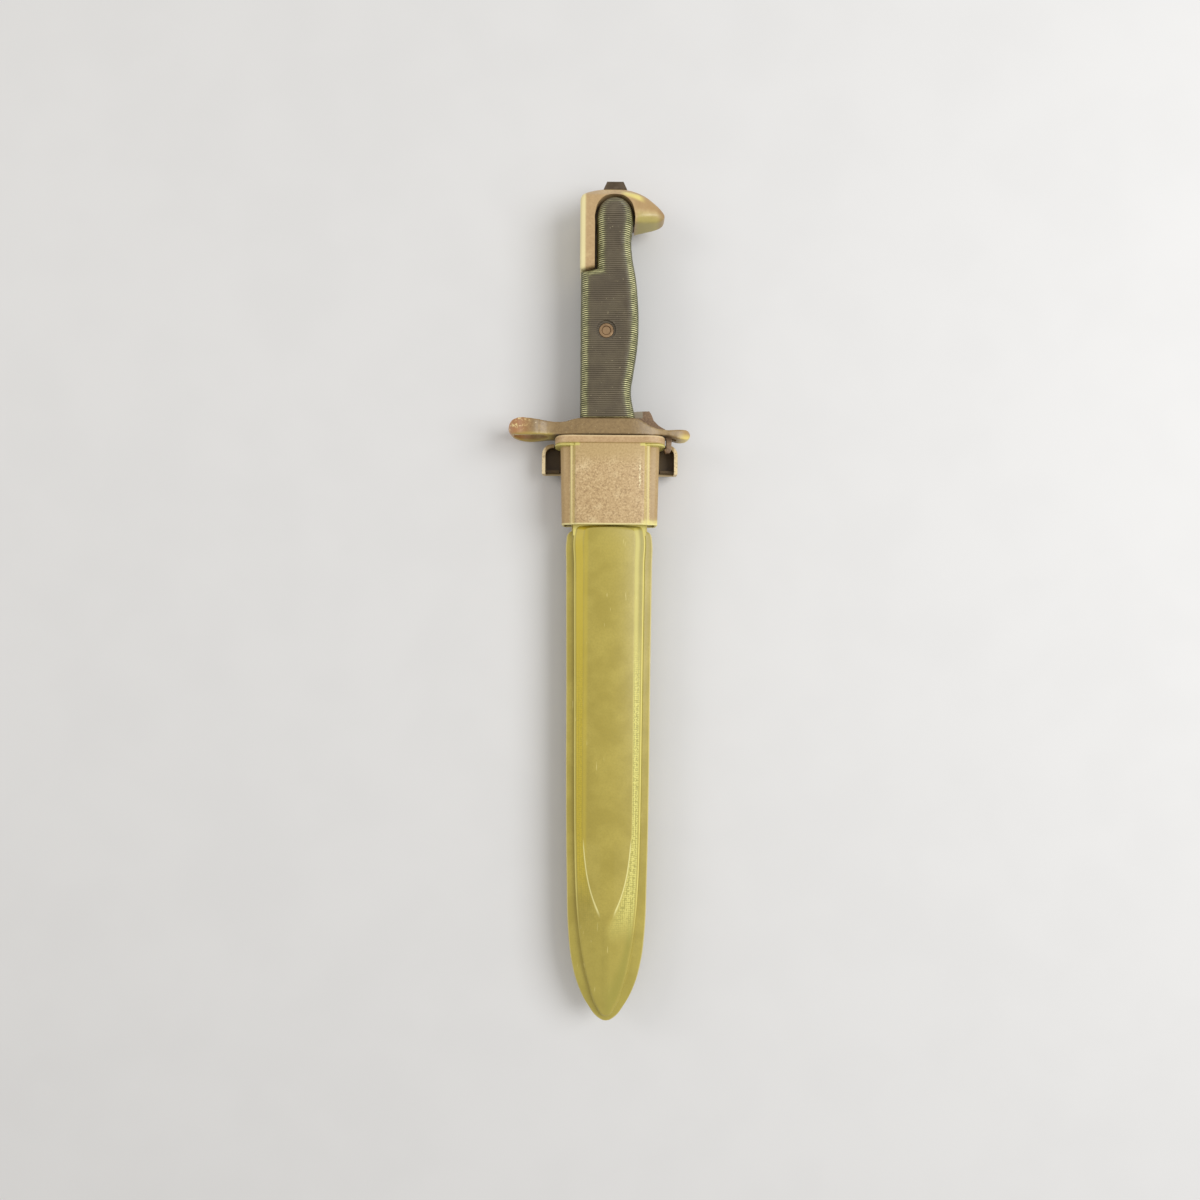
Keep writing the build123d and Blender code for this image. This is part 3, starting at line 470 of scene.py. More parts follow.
def flange_rules(colour, grain, smudge, place, u, v, w):
    """A painted highlight along the upper rim, green-yellow at the lower lip."""
    # painted highlight along the upper rim
    rim = rise(v, -1.4, -0.8)
    colour = blend(rim * 0.6, colour, shade(228, 204, 158))
    lip = 1 - rise(v, -4.0, -3.5)
    ends = rise(abs(u), 13, 15)
    return blend(lip * (ends * 0.5 + 0.3), colour, shade(214, 204, 116))


FLANGE = paint_finish("rosy_tan_paint", shade(186, 154, 112), shade(158, 126, 88), shade(208, 180, 136),
                      1.1, 0.4, flange_rules)


def hanger_rules(colour, grain, smudge, place, u, v, w):
    """Painted shade inside the wings, and painted highlights on the lower lip and the front edges, broken up
    by the grain at the edges.
    """
    # painted shade: dark brown inside the wings
    inside = (1 - rise(w, -4.2, -3.3)) * (1 - rise(abs(u), 30.5, 30.8))
    colour = blend(inside, colour, shade(84, 66, 34))
    # painted highlight along the lower lip
    lip = 1 - rise(v, -16.2, -15.2)
    colour = blend(lip * 0.8, colour, shade(228, 206, 158))
    # painted highlight on the front edges of the wings, broken up by the grain
    edge = rise(w, -3.6, -3.1) * rise(abs(u), 30.0, 30.6)
    return blend(edge * rise(grain, 0.3, 0.5), colour, shade(232, 212, 168))


HANGER = paint_finish("nicked_tan_paint", shade(178, 152, 104), shade(130, 104, 68), shade(214, 192, 140),
                      0.9, 0.5, hanger_rules)
print("finishes:", SLEEVE.name, FLANGE.name, HANGER.name)

# %% [markdown]
# The guard is forged steel with a brown bronze-like finish. Its ring end has been handled most:
# there the finish is orange brown with pale yellow specks. Painted shade darkens it along the gap
# above the mouth flange and where the grip sits on it. The pommel is the same steel in a warmer
# sand colour, with painted highlights along its back edge, under the beak and by the crown, and
# painted shade on the upper beak.


# %% Guard, pommel and thumb catch
def guard_rules(colour, grain, smudge, place, u, v, w):
    """Orange brown and specked at the ring's end, gold along the lower front edges, with painted shade along
    the lower edge and under the grip.
    """
    worn = 1 - rise(u, -44, -34)
    colour = blend(worn * 0.75, colour, shade(190, 128, 78))
    flecks = worn * rise(cloud(place, 1.6, 4.0, 0.7), 0.52, 0.62)
    colour = blend(flecks * rise(v, 0.5, 4.0), colour, shade(240, 216, 150))
    dots = rise(cloud(place, 0.8, 2.0, 0.6), 0.70, 0.74)
    colour = blend(dots * 0.7, colour, shade(232, 214, 166))
    under = 1 - rise(v, -0.2, 1.6)
    ring = 1 - rise(u, -28, -24)
    colour = blend(under * ring * 0.8, colour, shade(176, 156, 78))
    # painted shade along the lower edge, in the gap above the mouth flange
    gap_shade = (1 - rise(v, 0.0, 0.7)) * (1 - ring) * (1 - rise(u, 26, 30))
    colour = blend(gap_shade * 0.85, colour, shade(58, 44, 28))
    # painted shade in a line where the grip sits on the guard
    grip_seat_shade = band(v, 7.0, 8.4, 0.3) * band(u, -14.5, 12, 0.5)
    colour = blend(grip_seat_shade * 0.5, colour, shade(80, 62, 40))
    tip = rise(u, 30, 36)
    colour = blend(tip * 0.4, colour, shade(196, 156, 96))
    return blend(tip * (1 - rise(v, -0.5, 2.0)) * 0.8, colour, shade(226, 206, 110))


GUARD = paint_finish("brown_bronze_finish", shade(138, 114, 76), shade(104, 82, 54), shade(166, 140, 96),
                     1.3, 0.35, guard_rules, roughness=0.36, coat=0.2)


def pommel_rules(colour, grain, smudge, place, u, v, w):
    """Painted highlights along the back edge, under the beak in greenish gold and in a streak by the crown,
    and painted shade on the upper beak.
    """
    # painted highlight along the back edge
    back_edge_highlight = 1 - rise(u, -12.6, -11.4)
    colour = blend(back_edge_highlight * 0.8, colour, shade(240, 230, 172))
    # painted highlight in greenish gold under the beak
    under = rise(u, 10, 13) * (1 - rise(v, 99.0, 104.5))
    colour = blend(under * 0.7, colour, shade(178, 170, 86))
    # painted shade on the upper beak
    top = rise(u, 9, 13) * rise(v, 102, 104.5)
    colour = blend(top * 0.75, colour, shade(164, 132, 84))
    # painted highlight in a streak by the crown
    crown_streak_highlight = band(v + u * 0.35, 112.0, 114.6, 0.9) * band(u, 5, 14, 2) * rise(w, 2, 5)
    colour = blend(crown_streak_highlight * 0.8, colour, shade(236, 222, 132))
    tip = rise(u, 20.5, 23.5)
    return blend(tip * 0.7, colour, shade(142, 110, 70))


POMMEL = paint_finish("warm_sand_finish", shade(184, 154, 110), shade(160, 130, 90), shade(208, 182, 132),
                      1.1, 0.3, pommel_rules, roughness=0.34, coat=0.25)


def catch_rules(colour, grain, smudge, place, u, v, w):
    """Grey and polished on the bar beside the thumb pad."""
    bar = band(u, 9, 15.2, 0.3) * rise(v, 8.6, 9.6)
    return blend(bar * 0.6, colour, shade(160, 156, 138))


CATCH = paint_finish("brown_grey_finish", shade(126, 100, 74), shade(88, 68, 50), shade(166, 138, 104),
                     0.9, 0.45, catch_rules, roughness=0.38, coat=0.15)
print("finishes:", GUARD.name, POMMEL.name, CATCH.name)

# %% [markdown]
# The grip is dark olive-brown plastic. Its grooves are painted dark as shade, its long rounded
# edges are painted olive green as shade, and the crests there carry a pale green painted
# highlight. The flat middle is duller with pale specks and a few scuffs.


# %% Grip
RIB_PITCH = 0.95
RIB_START = 8.4


def grip_finish():
    material, place, u, v, w = begin("ribbed_olive_brown_plastic")
    broad = cloud(place, 9, 2.0)
    fine = cloud(place, 0.6, 4.0, 0.7)
    colour = blend(rise(broad, 0.35, 0.65), shade(92, 82, 66), shade(104, 94, 75))
    near_screw = band(u, -8, 4, 0.5) * band(v, 41.5, 53.5, 0.5)
    edge = (1 - rise(w, 10.6, 11.25)) * (1 - near_screw) * (1 - rise(v, 98, 106) * 0.8)
    edge_front = edge * rise(w, 8.2, 9.4)
    # painted shade: the rounded edges are tinted olive green
    colour = blend(edge * 0.7, colour, shade(96, 98, 48))
    phase = v.node("ShaderNodeMath", {"operation": "PINGPONG"}, {0: v - RIB_START, 1: RIB_PITCH / 2})
    groove = 1 - rise(phase, 0.06, 0.20)
    crest = rise(phase, 0.24, 0.42)
    # painted highlight on the rib crests of the rounded edges
    rib_crest_highlight = crest * edge_front * (rise(cloud(place, 3.2, 3.0), 0.3, 0.62) * 0.7 + 0.3)
    colour = blend(rib_crest_highlight, colour, shade(240, 236, 176))
    # painted shade in the grooves, stronger on the rounded edges
    colour = blend(groove * (edge * 0.35 + 0.5), colour, shade(42, 40, 26))
    specks = rise(cloud(place, 0.9, 2.0, 0.5), 0.72, 0.76)
    colour = blend(specks * 0.6, colour, shade(206, 194, 156))
    scuff = cloud(place, 1.6, 3.0, 0.6, (0.25, 1.6, 1))
    colour = blend(rise(scuff, 0.62, 0.72) * 0.3 * crest, colour, shade(158, 146, 112))
    roughness = 0.40 + fine * 0.16 + groove * 0.2
    complete(place, colour, roughness, fine * 0.6 + crest * 0.6, 0.06, coat=0.25)
    return material


GRIP = grip_finish()
print("finish:", GRIP.name)

# %% [markdown]
# The bare metal parts share one recipe: a metallic base, a brushed grain stretched along one
# direction, and stains. The blade and its tang are dark and phosphated, the screw is coppery,
# and the pins, springs and hook are dull steel.


# %% Bare metals
def metal_finish(name, colour, stain, roughness, stretch, metallic=0.85):
    """Metal with a brushed grain and stains."""
    material, place, u, v, w = begin(name)
    brushed = cloud(place, 0.5, 4.0, 0.65, stretch)
    patches = cloud(place, 5.0, 4.0, 0.6)
    mixed = blend(rise(patches, 0.42, 0.68) * 0.7, colour, stain)
    mixed = blend(rise(brushed, 0.45, 0.75) * 0.3, mixed, stain)
    complete(place, mixed, roughness + patches * 0.16 + brushed * 0.08, brushed, 0.025, metallic)
    return material


BLADE = metal_finish("dark_phosphated_steel", shade(112, 98, 82), shade(82, 70, 56), 0.38, (0.12, 1, 1), 0.7)
COPPER = metal_finish("coppery_screw", shade(158, 130, 98), shade(98, 76, 54), 0.34, (1, 0.3, 1), 0.6)
PINS = metal_finish("dull_pin_steel", shade(138, 124, 104), shade(96, 82, 64), 0.42, (1, 1, 0.2))
SPRING = metal_finish("dark_spring_steel", shade(104, 100, 96), shade(70, 64, 58), 0.34, (1, 0.2, 1))
WIRE = metal_finish("dull_brown_wire", shade(140, 124, 96), shade(98, 84, 60), 0.42, (1, 0.15, 1))
LATCH = metal_finish("grey_brown_lever_steel", shade(136, 122, 104), shade(98, 86, 70), 0.4, (1, 0.2, 1))
RIVET = metal_finish("painted_rivet_steel", shade(160, 138, 98), shade(116, 96, 64), 0.45, (1, 1, 1), 0.4)

CAD_FINISHES = {"blade": BLADE, "grip_nut": COPPER, "catch_pivot_pin": PINS, "latch_pivot_pin": PINS,
                "latch_spring": SPRING, "throat_spring_front": SPRING, "throat_spring_back": SPRING,
                "belt_hook": WIRE, "latch_bar": LATCH, "hanger_rivets": RIVET, "spring_rivets": RIVET,
                "hanger_plate": HANGER}
for name, finish in CAD_FINISHES.items():
    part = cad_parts[name]
    for i in range(len(part.material_slots)):
        part.material_slots[i].material = finish
print("engineering parts with a new finish:", len(CAD_FINISHES))

# %% [markdown]
# ## Ribbed grip scales
#
# Each scale is a plate with a straight back, a swelling belly and an arch at the top. It could
# be a box cut to shape, but the outline has one long curve, so it starts as a curve with rounded
# edges and is trimmed where it meets the guard and the tang. The ribs are real: the plate is
# bisected three times in every pitch, and the middle line of each groove is pressed in.

# %% Grip outline and trimming
GRIP_BOTTOM = 7.9
GRIP_FACE = 11.3
GRIP_SEAT = 3.05
GRIP_ROUNDING = 5.2
GRIP_WASTE = 8  # extra depth behind the seat, trimmed off again
ARCH_U, ARCH_V, ARCH_R = 1.5, 101.5, 8.2
SCREW_U, SCREW_V = -2.1, 47.4
HALF = math.sqrt(0.5)

grip_loop = [(11.9, 2.0), (11.4, GRIP_BOTTOM, "s"), (9.5, 20, "s"), (10.9, 31, "s"), (12.3, 41, "s"),
             (12.8, 52, "s"), (12.4, 62, "s"), (11.4, 72.5, "s"), (9.7, 82, "s"), (9.1, 90, "s"),
             (ARCH_U + ARCH_R, ARCH_V, "s"), (ARCH_U + ARCH_R * HALF, ARCH_V + ARCH_R * HALF, "s"),
             (ARCH_U, ARCH_V + ARCH_R, "s"), (ARCH_U - ARCH_R * HALF, ARCH_V + ARCH_R * HALF, "s"),
             (ARCH_U - ARCH_R, ARCH_V, "s"), (ARCH_U - ARCH_R, 95), (ARCH_U - ARCH_R, 76.6),
             (-14.0, 75.0), (-14.0, 2.0)]
scale = plate("grip_scale_front", [grip_loop], "front", GRIP_SEAT - GRIP_WASTE, GRIP_FACE, GRIP_ROUNDING,
              steps=10)
for place, normal in (((0, GRIP_BOTTOM, 0), (0, 1, 0)), ((0, 0, GRIP_SEAT), (0, 0, 1))):
    pick(scale, lambda co: True)
    bpy.ops.mesh.bisect(plane_co=place, plane_no=normal, clear_inner=True, use_fill=True)
bpy.ops.object.mode_set(mode="OBJECT")
print("scale trimmed:", len(scale.data.vertices), "points")

# %% Screw recess and ribs
RECESS_R = 4.5
RECESS_FLOOR = 10.35
SCREW_WAY_R = 3.5
GROOVE_DEPTH = 0.24
combine(scale, rod(RECESS_R, 6, (SCREW_U, SCREW_V, RECESS_FLOOR + 3), 48), "DIFFERENCE")
combine(scale, rod(SCREW_WAY_R, 30, (SCREW_U, SCREW_V, 0), 40), "DIFFERENCE")

rib_count = int((ARCH_V + ARCH_R - RIB_START) / RIB_PITCH)
pick(scale, lambda co: True)
for i in range(rib_count):
    for part_way in (0.0, 0.3, 0.7):
        bpy.ops.mesh.select_all(action="SELECT")
        bpy.ops.mesh.bisect(plane_co=(0, RIB_START + (i + part_way) * RIB_PITCH, 0), plane_no=(0, 1, 0))


def in_groove(co):
    """A point on the middle line of a groove, outside the screw's recess."""
    step = (co.y - RIB_START) / RIB_PITCH
    near_screw = math.hypot(co.x - SCREW_U, co.y - SCREW_V) < RECESS_R + 0.05
    return abs(step - round(step)) < 0.02 and co.z > GRIP_SEAT + 0.3 and not near_screw


pressed = pick(scale, in_groove)
bpy.ops.transform.shrink_fatten(value=-GROOVE_DEPTH)
bpy.ops.object.mode_set(mode="OBJECT")
print(rib_count, "ribs;", pressed, "points pressed in")



# %% The back scale is a mirrored copy
def mirrored_copy(piece, name):
    """A copy of a piece on the other side of the joint plane, with its faces outwards again."""
    alone(piece)
    bpy.ops.object.duplicate()
    copy = bpy.context.object
    copy.name = name
    copy.scale = (1, 1, -1)
    bpy.ops.object.transform_apply(location=True, rotation=True, scale=True)
    outward(copy)
    return copy


back_scale = mirrored_copy(scale, "grip_scale_back")
seat(scale, "knife", ["grip_front"], GRIP, 40)
seat(back_scale, "knife", ["grip_back"], GRIP, 40)

# %% [markdown]
# ## Scabbard shells
#
# One shell is a stack of closed outlines that rise from the joint line: thin flange, small step,
# sloping side, and a flat panel that ends in a V. Neighbouring outlines are bridged. That gives
# long clean faces, and the small steps at the crests catch the light as on the real moulding.

# %% Shell outlines
def mirrored(half):
    """A closed outline from the points of its right half, listed from the top to the tip."""
    left = [(-point[0], *point[1:]) for point in reversed(half) if point[0] > 0]
    return half + left


TIP_HALF = 6  # points closer to the middle than this belong to the tip


def widened(half, amount):
    """The same half outline, moved outwards, and downwards at the tip."""
    moved = []
    for point in half:
        down = amount if point[0] < TIP_HALF else 0
        moved.append((max(point[0] + amount, 0) if point[0] > 0 else 0, point[1] - down, *point[2:]))
    return moved


FLANGE_HALF = [(17.6, -39.5), (17.6, -43.8), (19.2, -45.0, "s"), (20.0, -48.5, "s"), (20.0, -60, "s"),
               (19.6, -110, "s"), (19.3, -165, "s"), (18.7, -205, "s"), (17.7, -232, "s"),
               (16.0, -245, "s"), (12.9, -256, "s"), (8.2, -265, "s"), (3.6, -270.6, "s"), (0, -272, "s")]
CREST_HALF = [(12.5, -41.6, "s"), (15.2, -42.3, "s"), (16.2, -44.8, "s"), (16.2, -60, "s"), (15.8, -110, "s"),
              (15.4, -165, "s"), (15.1, -188, "s"), (14.5, -208, "s"), (13.3, -225, "s"), (11.2, -241, "s"),
              (8.2, -254, "s"), (4.4, -264.5, "s"), (0, -269, "s")]
PANEL_HALF = [(8.8, -42.6, "s"), (10.5, -43.2, "s"), (11.2, -45.2, "s"), (11.2, -60, "s"), (11.1, -110, "s"),
              (11.0, -165, "s"), (10.7, -186, "s"), (9.6, -198, "s"), (8.2, -206, "s"), (6.4, -212.5, "s"),
              (4.2, -218, "s"), (1.9, -223, "s"), (0, -226, "s")]
FLANGE_LEVEL = 2.4
CREST_LEVEL = 4.2
PANEL_LEVEL = 7.0
RINGS = [(FLANGE_HALF, 0, 0.0), (FLANGE_HALF, 0, 1.8), (FLANGE_HALF, -0.25, 2.25),
         (FLANGE_HALF, -0.7, FLANGE_LEVEL), (CREST_HALF, 0.9, FLANGE_LEVEL + 0.02),
         (CREST_HALF, 0.45, 2.7), (CREST_HALF, 0.15, 3.7),
         (CREST_HALF, -0.1, CREST_LEVEL), (CREST_HALF, -0.5, 4.5), (CREST_HALF, -1.1, 4.75),
         (PANEL_HALF, 0.5, 6.75), (PANEL_HALF, 0.0, PANEL_LEVEL)]
RING_LEVELS = [level for half, amount, level in RINGS]
SAME_LEVEL = 0.002
print(len(RINGS), "outlines between levels", RING_LEVELS[0], "and", RING_LEVELS[-1])

# %% Bridge the outlines
loops = [outline(f"ring_{level}", [mirrored(widened(half, amount))], "front", level, False)
         for half, amount, level in RINGS]
shell = join("scabbard_front", *loops)
for lower, upper in zip(RING_LEVELS, RING_LEVELS[1:]):
    pick(shell, lambda co: min(abs(co.z - lower), abs(co.z - upper)) < SAME_LEVEL)
    bpy.ops.mesh.bridge_edge_loops()
for level in (RING_LEVELS[0], RING_LEVELS[-1]):
    pick(shell, lambda co: abs(co.z - level) < SAME_LEVEL)
    bpy.ops.mesh.edge_face_add()
outward(shell)
print("shell skin:", len(shell.data.polygons), "faces")

# %% [markdown]
# Behind the mouth the shell has a thick part that fills the steel throat, and inside it is
# hollow for the blade. Both are plain prisms, so they are joined on and cut out with booleans.

# %% The part in the throat, and the room for the blade
INSERT_TOP = -4.3
THROAT_END = -41.2
INSERT_SIDE_FACE = 5.2
INSERT_FACE = 7.6
ROOM_HALF_WIDTH = 14.2
ROOM_HALF_DEPTH = 4.3
insert = block("throat_insert", (-20.4, THROAT_END + 0.7, 0), (20.4, INSERT_TOP, INSERT_SIDE_FACE))
insert_middle = block("insert_middle", (-14.6, THROAT_END + 0.7, 1), (14.6, INSERT_TOP, INSERT_FACE))
combine(insert, insert_middle, "UNION")
insert_core = block("insert_core", (-16.8, -46.0, 0.5), (16.8, THROAT_END + 2, 4.4))
combine(insert, insert_core, "UNION")
combine(shell, insert, "UNION")
room_loop = mirrored([(ROOM_HALF_WIDTH, 4), (ROOM_HALF_WIDTH, -192), (12.9, -214, "s"), (9.6, -234, "s"),
                      (0, -257)])
room = plate("blade_room", [room_loop], "front", -ROOM_HALF_DEPTH, ROOM_HALF_DEPTH - 0.6)
combine(shell, room, "DIFFERENCE")
spring_room = block("spring_room", (-ROOM_HALF_WIDTH, -39.6, -6.4), (ROOM_HALF_WIDTH, 3, 6.4))
combine(shell, spring_room, "DIFFERENCE")
print("hollow shell:", len(shell.data.polygons), "faces")

# %% The back shell is a mirrored copy
back_shell = mirrored_copy(shell, "scabbard_back")
seat(shell, "scabbard", ["sheath_front_shell"], SHELL, 32)
seat(back_shell, "scabbard", ["sheath_back_shell"], SHELL, 32)

# %% [markdown]
# ## Throat sleeve and mouth flange
#
# The sleeve is sheet steel folded round the throat: a raised panel in front, a fold at either
# side of it that gets a painted highlight, and plain sides. It is drawn as one closed line, drawn
# downwards with the extrusion of a curve, made a little narrower at its foot, and given its sheet
# thickness by Solidify. The mouth flange is a rounded plate with the blade's slot in it.

# %% Sleeve
MOUTH_V = -3.92
SHEET = 1.1
FOOT_NARROWING = 0.8
SLEEVE_HALF_WIDTH = 23
SLEEVE_HALF_DEPTH = 9.9
half_section = [(15.2, 10.3), (15.9, 10.1), (16.9, 9.0), (17.3, 8.9), (18.1, 8.8), (18.5, 8.2), (18.8, 7.6),
                (20.9, 7.3), (22.2, 6.4), (22.9, 5.0), (23.0, 3.6), (23.0, -7.3), (22.3, -9.0), (20.9, -9.5)]
section = half_section + [(-x, y) for x, y in reversed(half_section)]
sleeve = outline("sleeve_walls", [section], "top", (MOUTH_V + THROAT_END) / 2, False, MOUTH_V - THROAT_END)
outward(sleeve)
pick(sleeve, lambda co: co.y < THROAT_END / 2)
narrow = (1 - FOOT_NARROWING / SLEEVE_HALF_WIDTH, 1, 1 - FOOT_NARROWING / SLEEVE_HALF_DEPTH)
bpy.ops.transform.resize(value=narrow, center_override=(0, THROAT_END, 0.4))
bpy.ops.object.mode_set(mode="OBJECT")
wall = sleeve.modifiers.new("sheet", "SOLIDIFY")
wall.thickness = SHEET
wall.offset = -1
wall.use_even_offset = True
soft_lip = sleeve.modifiers.new("lip", "BEVEL")
soft_lip.width = 0.3
soft_lip.segments = 3
soft_lip.limit_method = "ANGLE"
soft_lip.angle_limit = math.radians(50)
apply_all(sleeve)
print("sleeve:", len(sleeve.data.polygons), "faces")


# %% Out-turned rim, and the flange above it
def rounded_box(half_u, low_w, high_w, corner):
    """The outline of a rectangle with round corners, as loop points."""
    soft = corner * (1 - HALF)
    middle_w = (low_w + high_w) / 2
    quarter = [(half_u, low_w + corner, "s"), (half_u, middle_w, "s"), (half_u, high_w - corner, "s"),
               (half_u - soft, high_w - soft, "s"), (half_u - corner, high_w, "s"),
               ((half_u - corner) * 0.8, high_w)]
    lower = [((half_u - corner) * 0.8, low_w), (half_u - corner, low_w, "s"),
             (half_u - soft, low_w + soft, "s")]
    right = lower + quarter
    return right + [(-point[0], *point[1:]) for point in reversed(right)]


RIM_FOOT = -4.9
RIM_INSIDE = 14.0
rim = plate("rim", [rounded_box(25.5, -9.2, 9.4, 5.5)], "top", RIM_FOOT, MOUTH_V, 0.35)
combine(rim, block("rim_gap", (-RIM_INSIDE, -8, -12), (RIM_INSIDE, 0, 12)), "DIFFERENCE")
inner_gap = plate("rim_inside", [section], "top", -8, 0)
combine(rim, inner_gap, "DIFFERENCE")
sleeve = join("throat_sleeve_folded", sleeve, rim)

FLANGE_TOP = -0.3
FLANGE_FOOT = -3.9
flange = plate("mouth_flange_plate", [rounded_box(25.5, -9.4, 10.8, 7.0)], "top", FLANGE_FOOT, FLANGE_TOP,
               0.8)
combine(flange, plate("slot", [rounded_box(13.8, -4.0, 4.0, 1.5)], "top", -8, 4), "DIFFERENCE")
combine(flange, block("nose_relief", (24.8, -8, -3), (28, 4, 3)), "DIFFERENCE")
combine(sleeve, block("rim_relief", (24.4, -8, -3), (28, 4, 3)), "DIFFERENCE")
seat(sleeve, "scabbard", ["throat_sleeve"], SLEEVE, 30)
seat(flange, "scabbard", ["mouth_flange"], FLANGE, 35)

# %% [markdown]
# ## Crossguard
#
# A forged guard has no sharp edge anywhere, and its outline differs in two views. So two plates
# are intersected, one drawn as seen from the front and one as seen from the pommel, and the
# result is melted: a remesh gives an even skin and smoothing rounds every edge. The slots for
# the tang and for the thumb catch are cut afterwards, because they are machined and crisp.

# %% Crossguard
RING_U, RING_R, RING_BORE = -36.9, 10.6, 8.1
RING_MIDDLE = (RING_U, 4, 0)
GUARD_SKIN, GUARD_PASSES = 0.4, 7
front_loop = [(-47.5, 3.6, "s"), (-46.4, 6.2, "s"), (-43.6, 7.5, "s"), (-36, 7.2, "s"), (-29, 6.4, "s"),
              (-24, 6.0, "s"), (-20.5, 6.2, "s"), (-16.5, 7.2, "s"), (-13.5, 7.6, "s"), (-4, 7.75, "s"),
              (9, 7.7, "s"), (12.6, 7.3, "s"), (16.0, 5.6, "s"), (20.0, 3.8, "s"), (26, 2.8, "s"),
              (33.2, 3.2, "s"),
              (36.4, 2.9, "s"), (37.5, 1.2, "s"), (36.4, -0.7, "s"), (33.5, -1.3, "s"), (27, 0, "s"),
              (20, 0), (-30, 0), (-43.0, 0, "s"), (-46.3, 1.2, "s")]
plan_half = [(-33.5, 9.4, "s"), (-29, 8.4, "s"), (-24.5, 8.0, "s"), (-18, 9.2, "s"), (-11, 10.2, "s"),
             (-7, 10.35), (7, 10.35), (11, 10.2, "s"),
             (16, 9.4, "s"), (22, 7.6, "s"), (28.5, 6.9, "s"), (33.2, 5.7, "s"), (36.4, 3.2, "s"),
             (37.5, 0, "s")]
plan_loop = plan_half + [(point[0], -point[1], *point[2:]) for point in reversed(plan_half[:-1])]
guard = plate("crossguard_forged", [front_loop], "front", -11.5, 11.5)
plan = plate("plan", [plan_loop], "top", -6, 14)
combine(plan, rod(RING_R, 20, RING_MIDDLE, 96, "top"), "UNION")
combine(guard, plan, "INTERSECT")
combine(guard, rod(RING_BORE, 20, RING_MIDDLE, 96, "top"), "DIFFERENCE")
melt(guard, GUARD_SKIN, GUARD_PASSES)
combine(guard, block("tang_way", (-9.55, -6, -3.05), (9.55, 14, 3.05)), "DIFFERENCE")
combine(guard, block("catch_way", (21.0, -6, -2.25), (31.0, 14, 2.25)), "DIFFERENCE")
combine(guard, block("lever_way", (9.5, 1.6, -2.25), (21.0, 14, 2.25)), "DIFFERENCE")
seat(guard, "knife", ["crossguard"], GUARD, 40)

# %% [markdown]
# ## Pommel
#
# The pommel is forged like the guard: a rail along the back, an arch round the top of the grip,
# and a beak. The beak thins towards its tip. It is cut across at a few places and each slice of
# it is made thinner than the last, as a smith would draw it out. Then the pommel is melted, and
# the arch and the T-slot are cut crisp.

# %% Pommel
POMMEL_HALF = 9.4
RAIL_FOOT = 75.8
CROWN_V = 114.8
pommel_loop = [(-14.5, RAIL_FOOT), (-7.7, 77.4), (ARCH_U, 78.0), (ARCH_U, 97.8), (9.5, 97.7),
               (12.6, 98.1, "s"), (17.5, 98.7, "s"), (21.8, 99.5, "s"), (24.2, 100.9, "s"),
               (24.8, 102.6, "s"), (23.2, 105.0, "s"), (18.6, 108.8, "s"), (13.4, 111.8, "s"),
               (9.0, 113.7, "s"), (6.4, CROWN_V), (-4.6, CROWN_V),
               (-9.4, 113.2, "s"), (-13.0, 111.2, "s"), (-14.4, 109.0, "s"), (-14.5, 107)]
pommel = plate("pommel_forged", [pommel_loop], "front", -POMMEL_HALF, POMMEL_HALF, 1.4)
SLOPE_START = 109.8
for side in (-1, 1):
    pick(pommel, lambda co: True)
    bpy.ops.mesh.bisect(plane_co=(0, SLOPE_START, side * POMMEL_HALF), plane_no=(0, 1, side),
                        clear_outer=True, use_fill=True)
BEAK_SLICES = (10.0, 12.5, 15.0, 17.5, 20.0, 22.5)
SLICE_THINNING = 0.90
POMMEL_SKIN, POMMEL_PASSES = 0.6, 22
for slice_u in BEAK_SLICES:
    pick(pommel, lambda co: True)
    bpy.ops.mesh.bisect(plane_co=(slice_u, 0, 0), plane_no=(1, 0, 0))
    pick(pommel, lambda co: co.x > slice_u + 0.01)
    bpy.ops.transform.resize(value=(1, 1, SLICE_THINNING), center_override=(slice_u, 100, 0))
melt(pommel, POMMEL_SKIN, POMMEL_PASSES)

# the opening is 1 mm wider than the arch of the scales all round
OPEN_R = ARCH_R + 1.0
arch_loop = [(ARCH_U + OPEN_R, 70), (ARCH_U + OPEN_R, ARCH_V - 4), (ARCH_U + OPEN_R, ARCH_V, "s"),
             (ARCH_U + OPEN_R * HALF, ARCH_V + OPEN_R * HALF, "s"), (ARCH_U, ARCH_V + OPEN_R, "s"),
             (ARCH_U - OPEN_R * HALF, ARCH_V + OPEN_R * HALF, "s"), (ARCH_U - OPEN_R, ARCH_V, "s"),
             (ARCH_U - OPEN_R, ARCH_V - 4), (ARCH_U - OPEN_R, 70)]
combine(pommel, plate("arch", [arch_loop], "front", -14, 14, steps=16), "DIFFERENCE")
combine(pommel, block("tee_neck", (-16, 82, -2.5), (-12.2, 122, 2.5)), "DIFFERENCE")
combine(pommel, block("tee_head", (-12.3, 82, -4.8), (-9.1, 122, 4.8)), "DIFFERENCE")
combine(pommel, block("tooth_way", (-10, 94.4, -2.2), (-7, 99.6, 2.2)), "DIFFERENCE")
combine(pommel, block("tang_stub", (-2.05, ARCH_V, -3.05), (5.25, 122, 3.05)), "DIFFERENCE")
seat(pommel, "knife", ["pommel"], POMMEL, 40)

# %% [markdown]
# ## Screw and thumb catch
#
# The grip screw has a domed head with a dished middle. The thumb catch is a bent lever with a
# rounded pad for the thumb, and a saw-cut down its side. Both are small, so a cylinder or a plate
# and a few operators are enough.

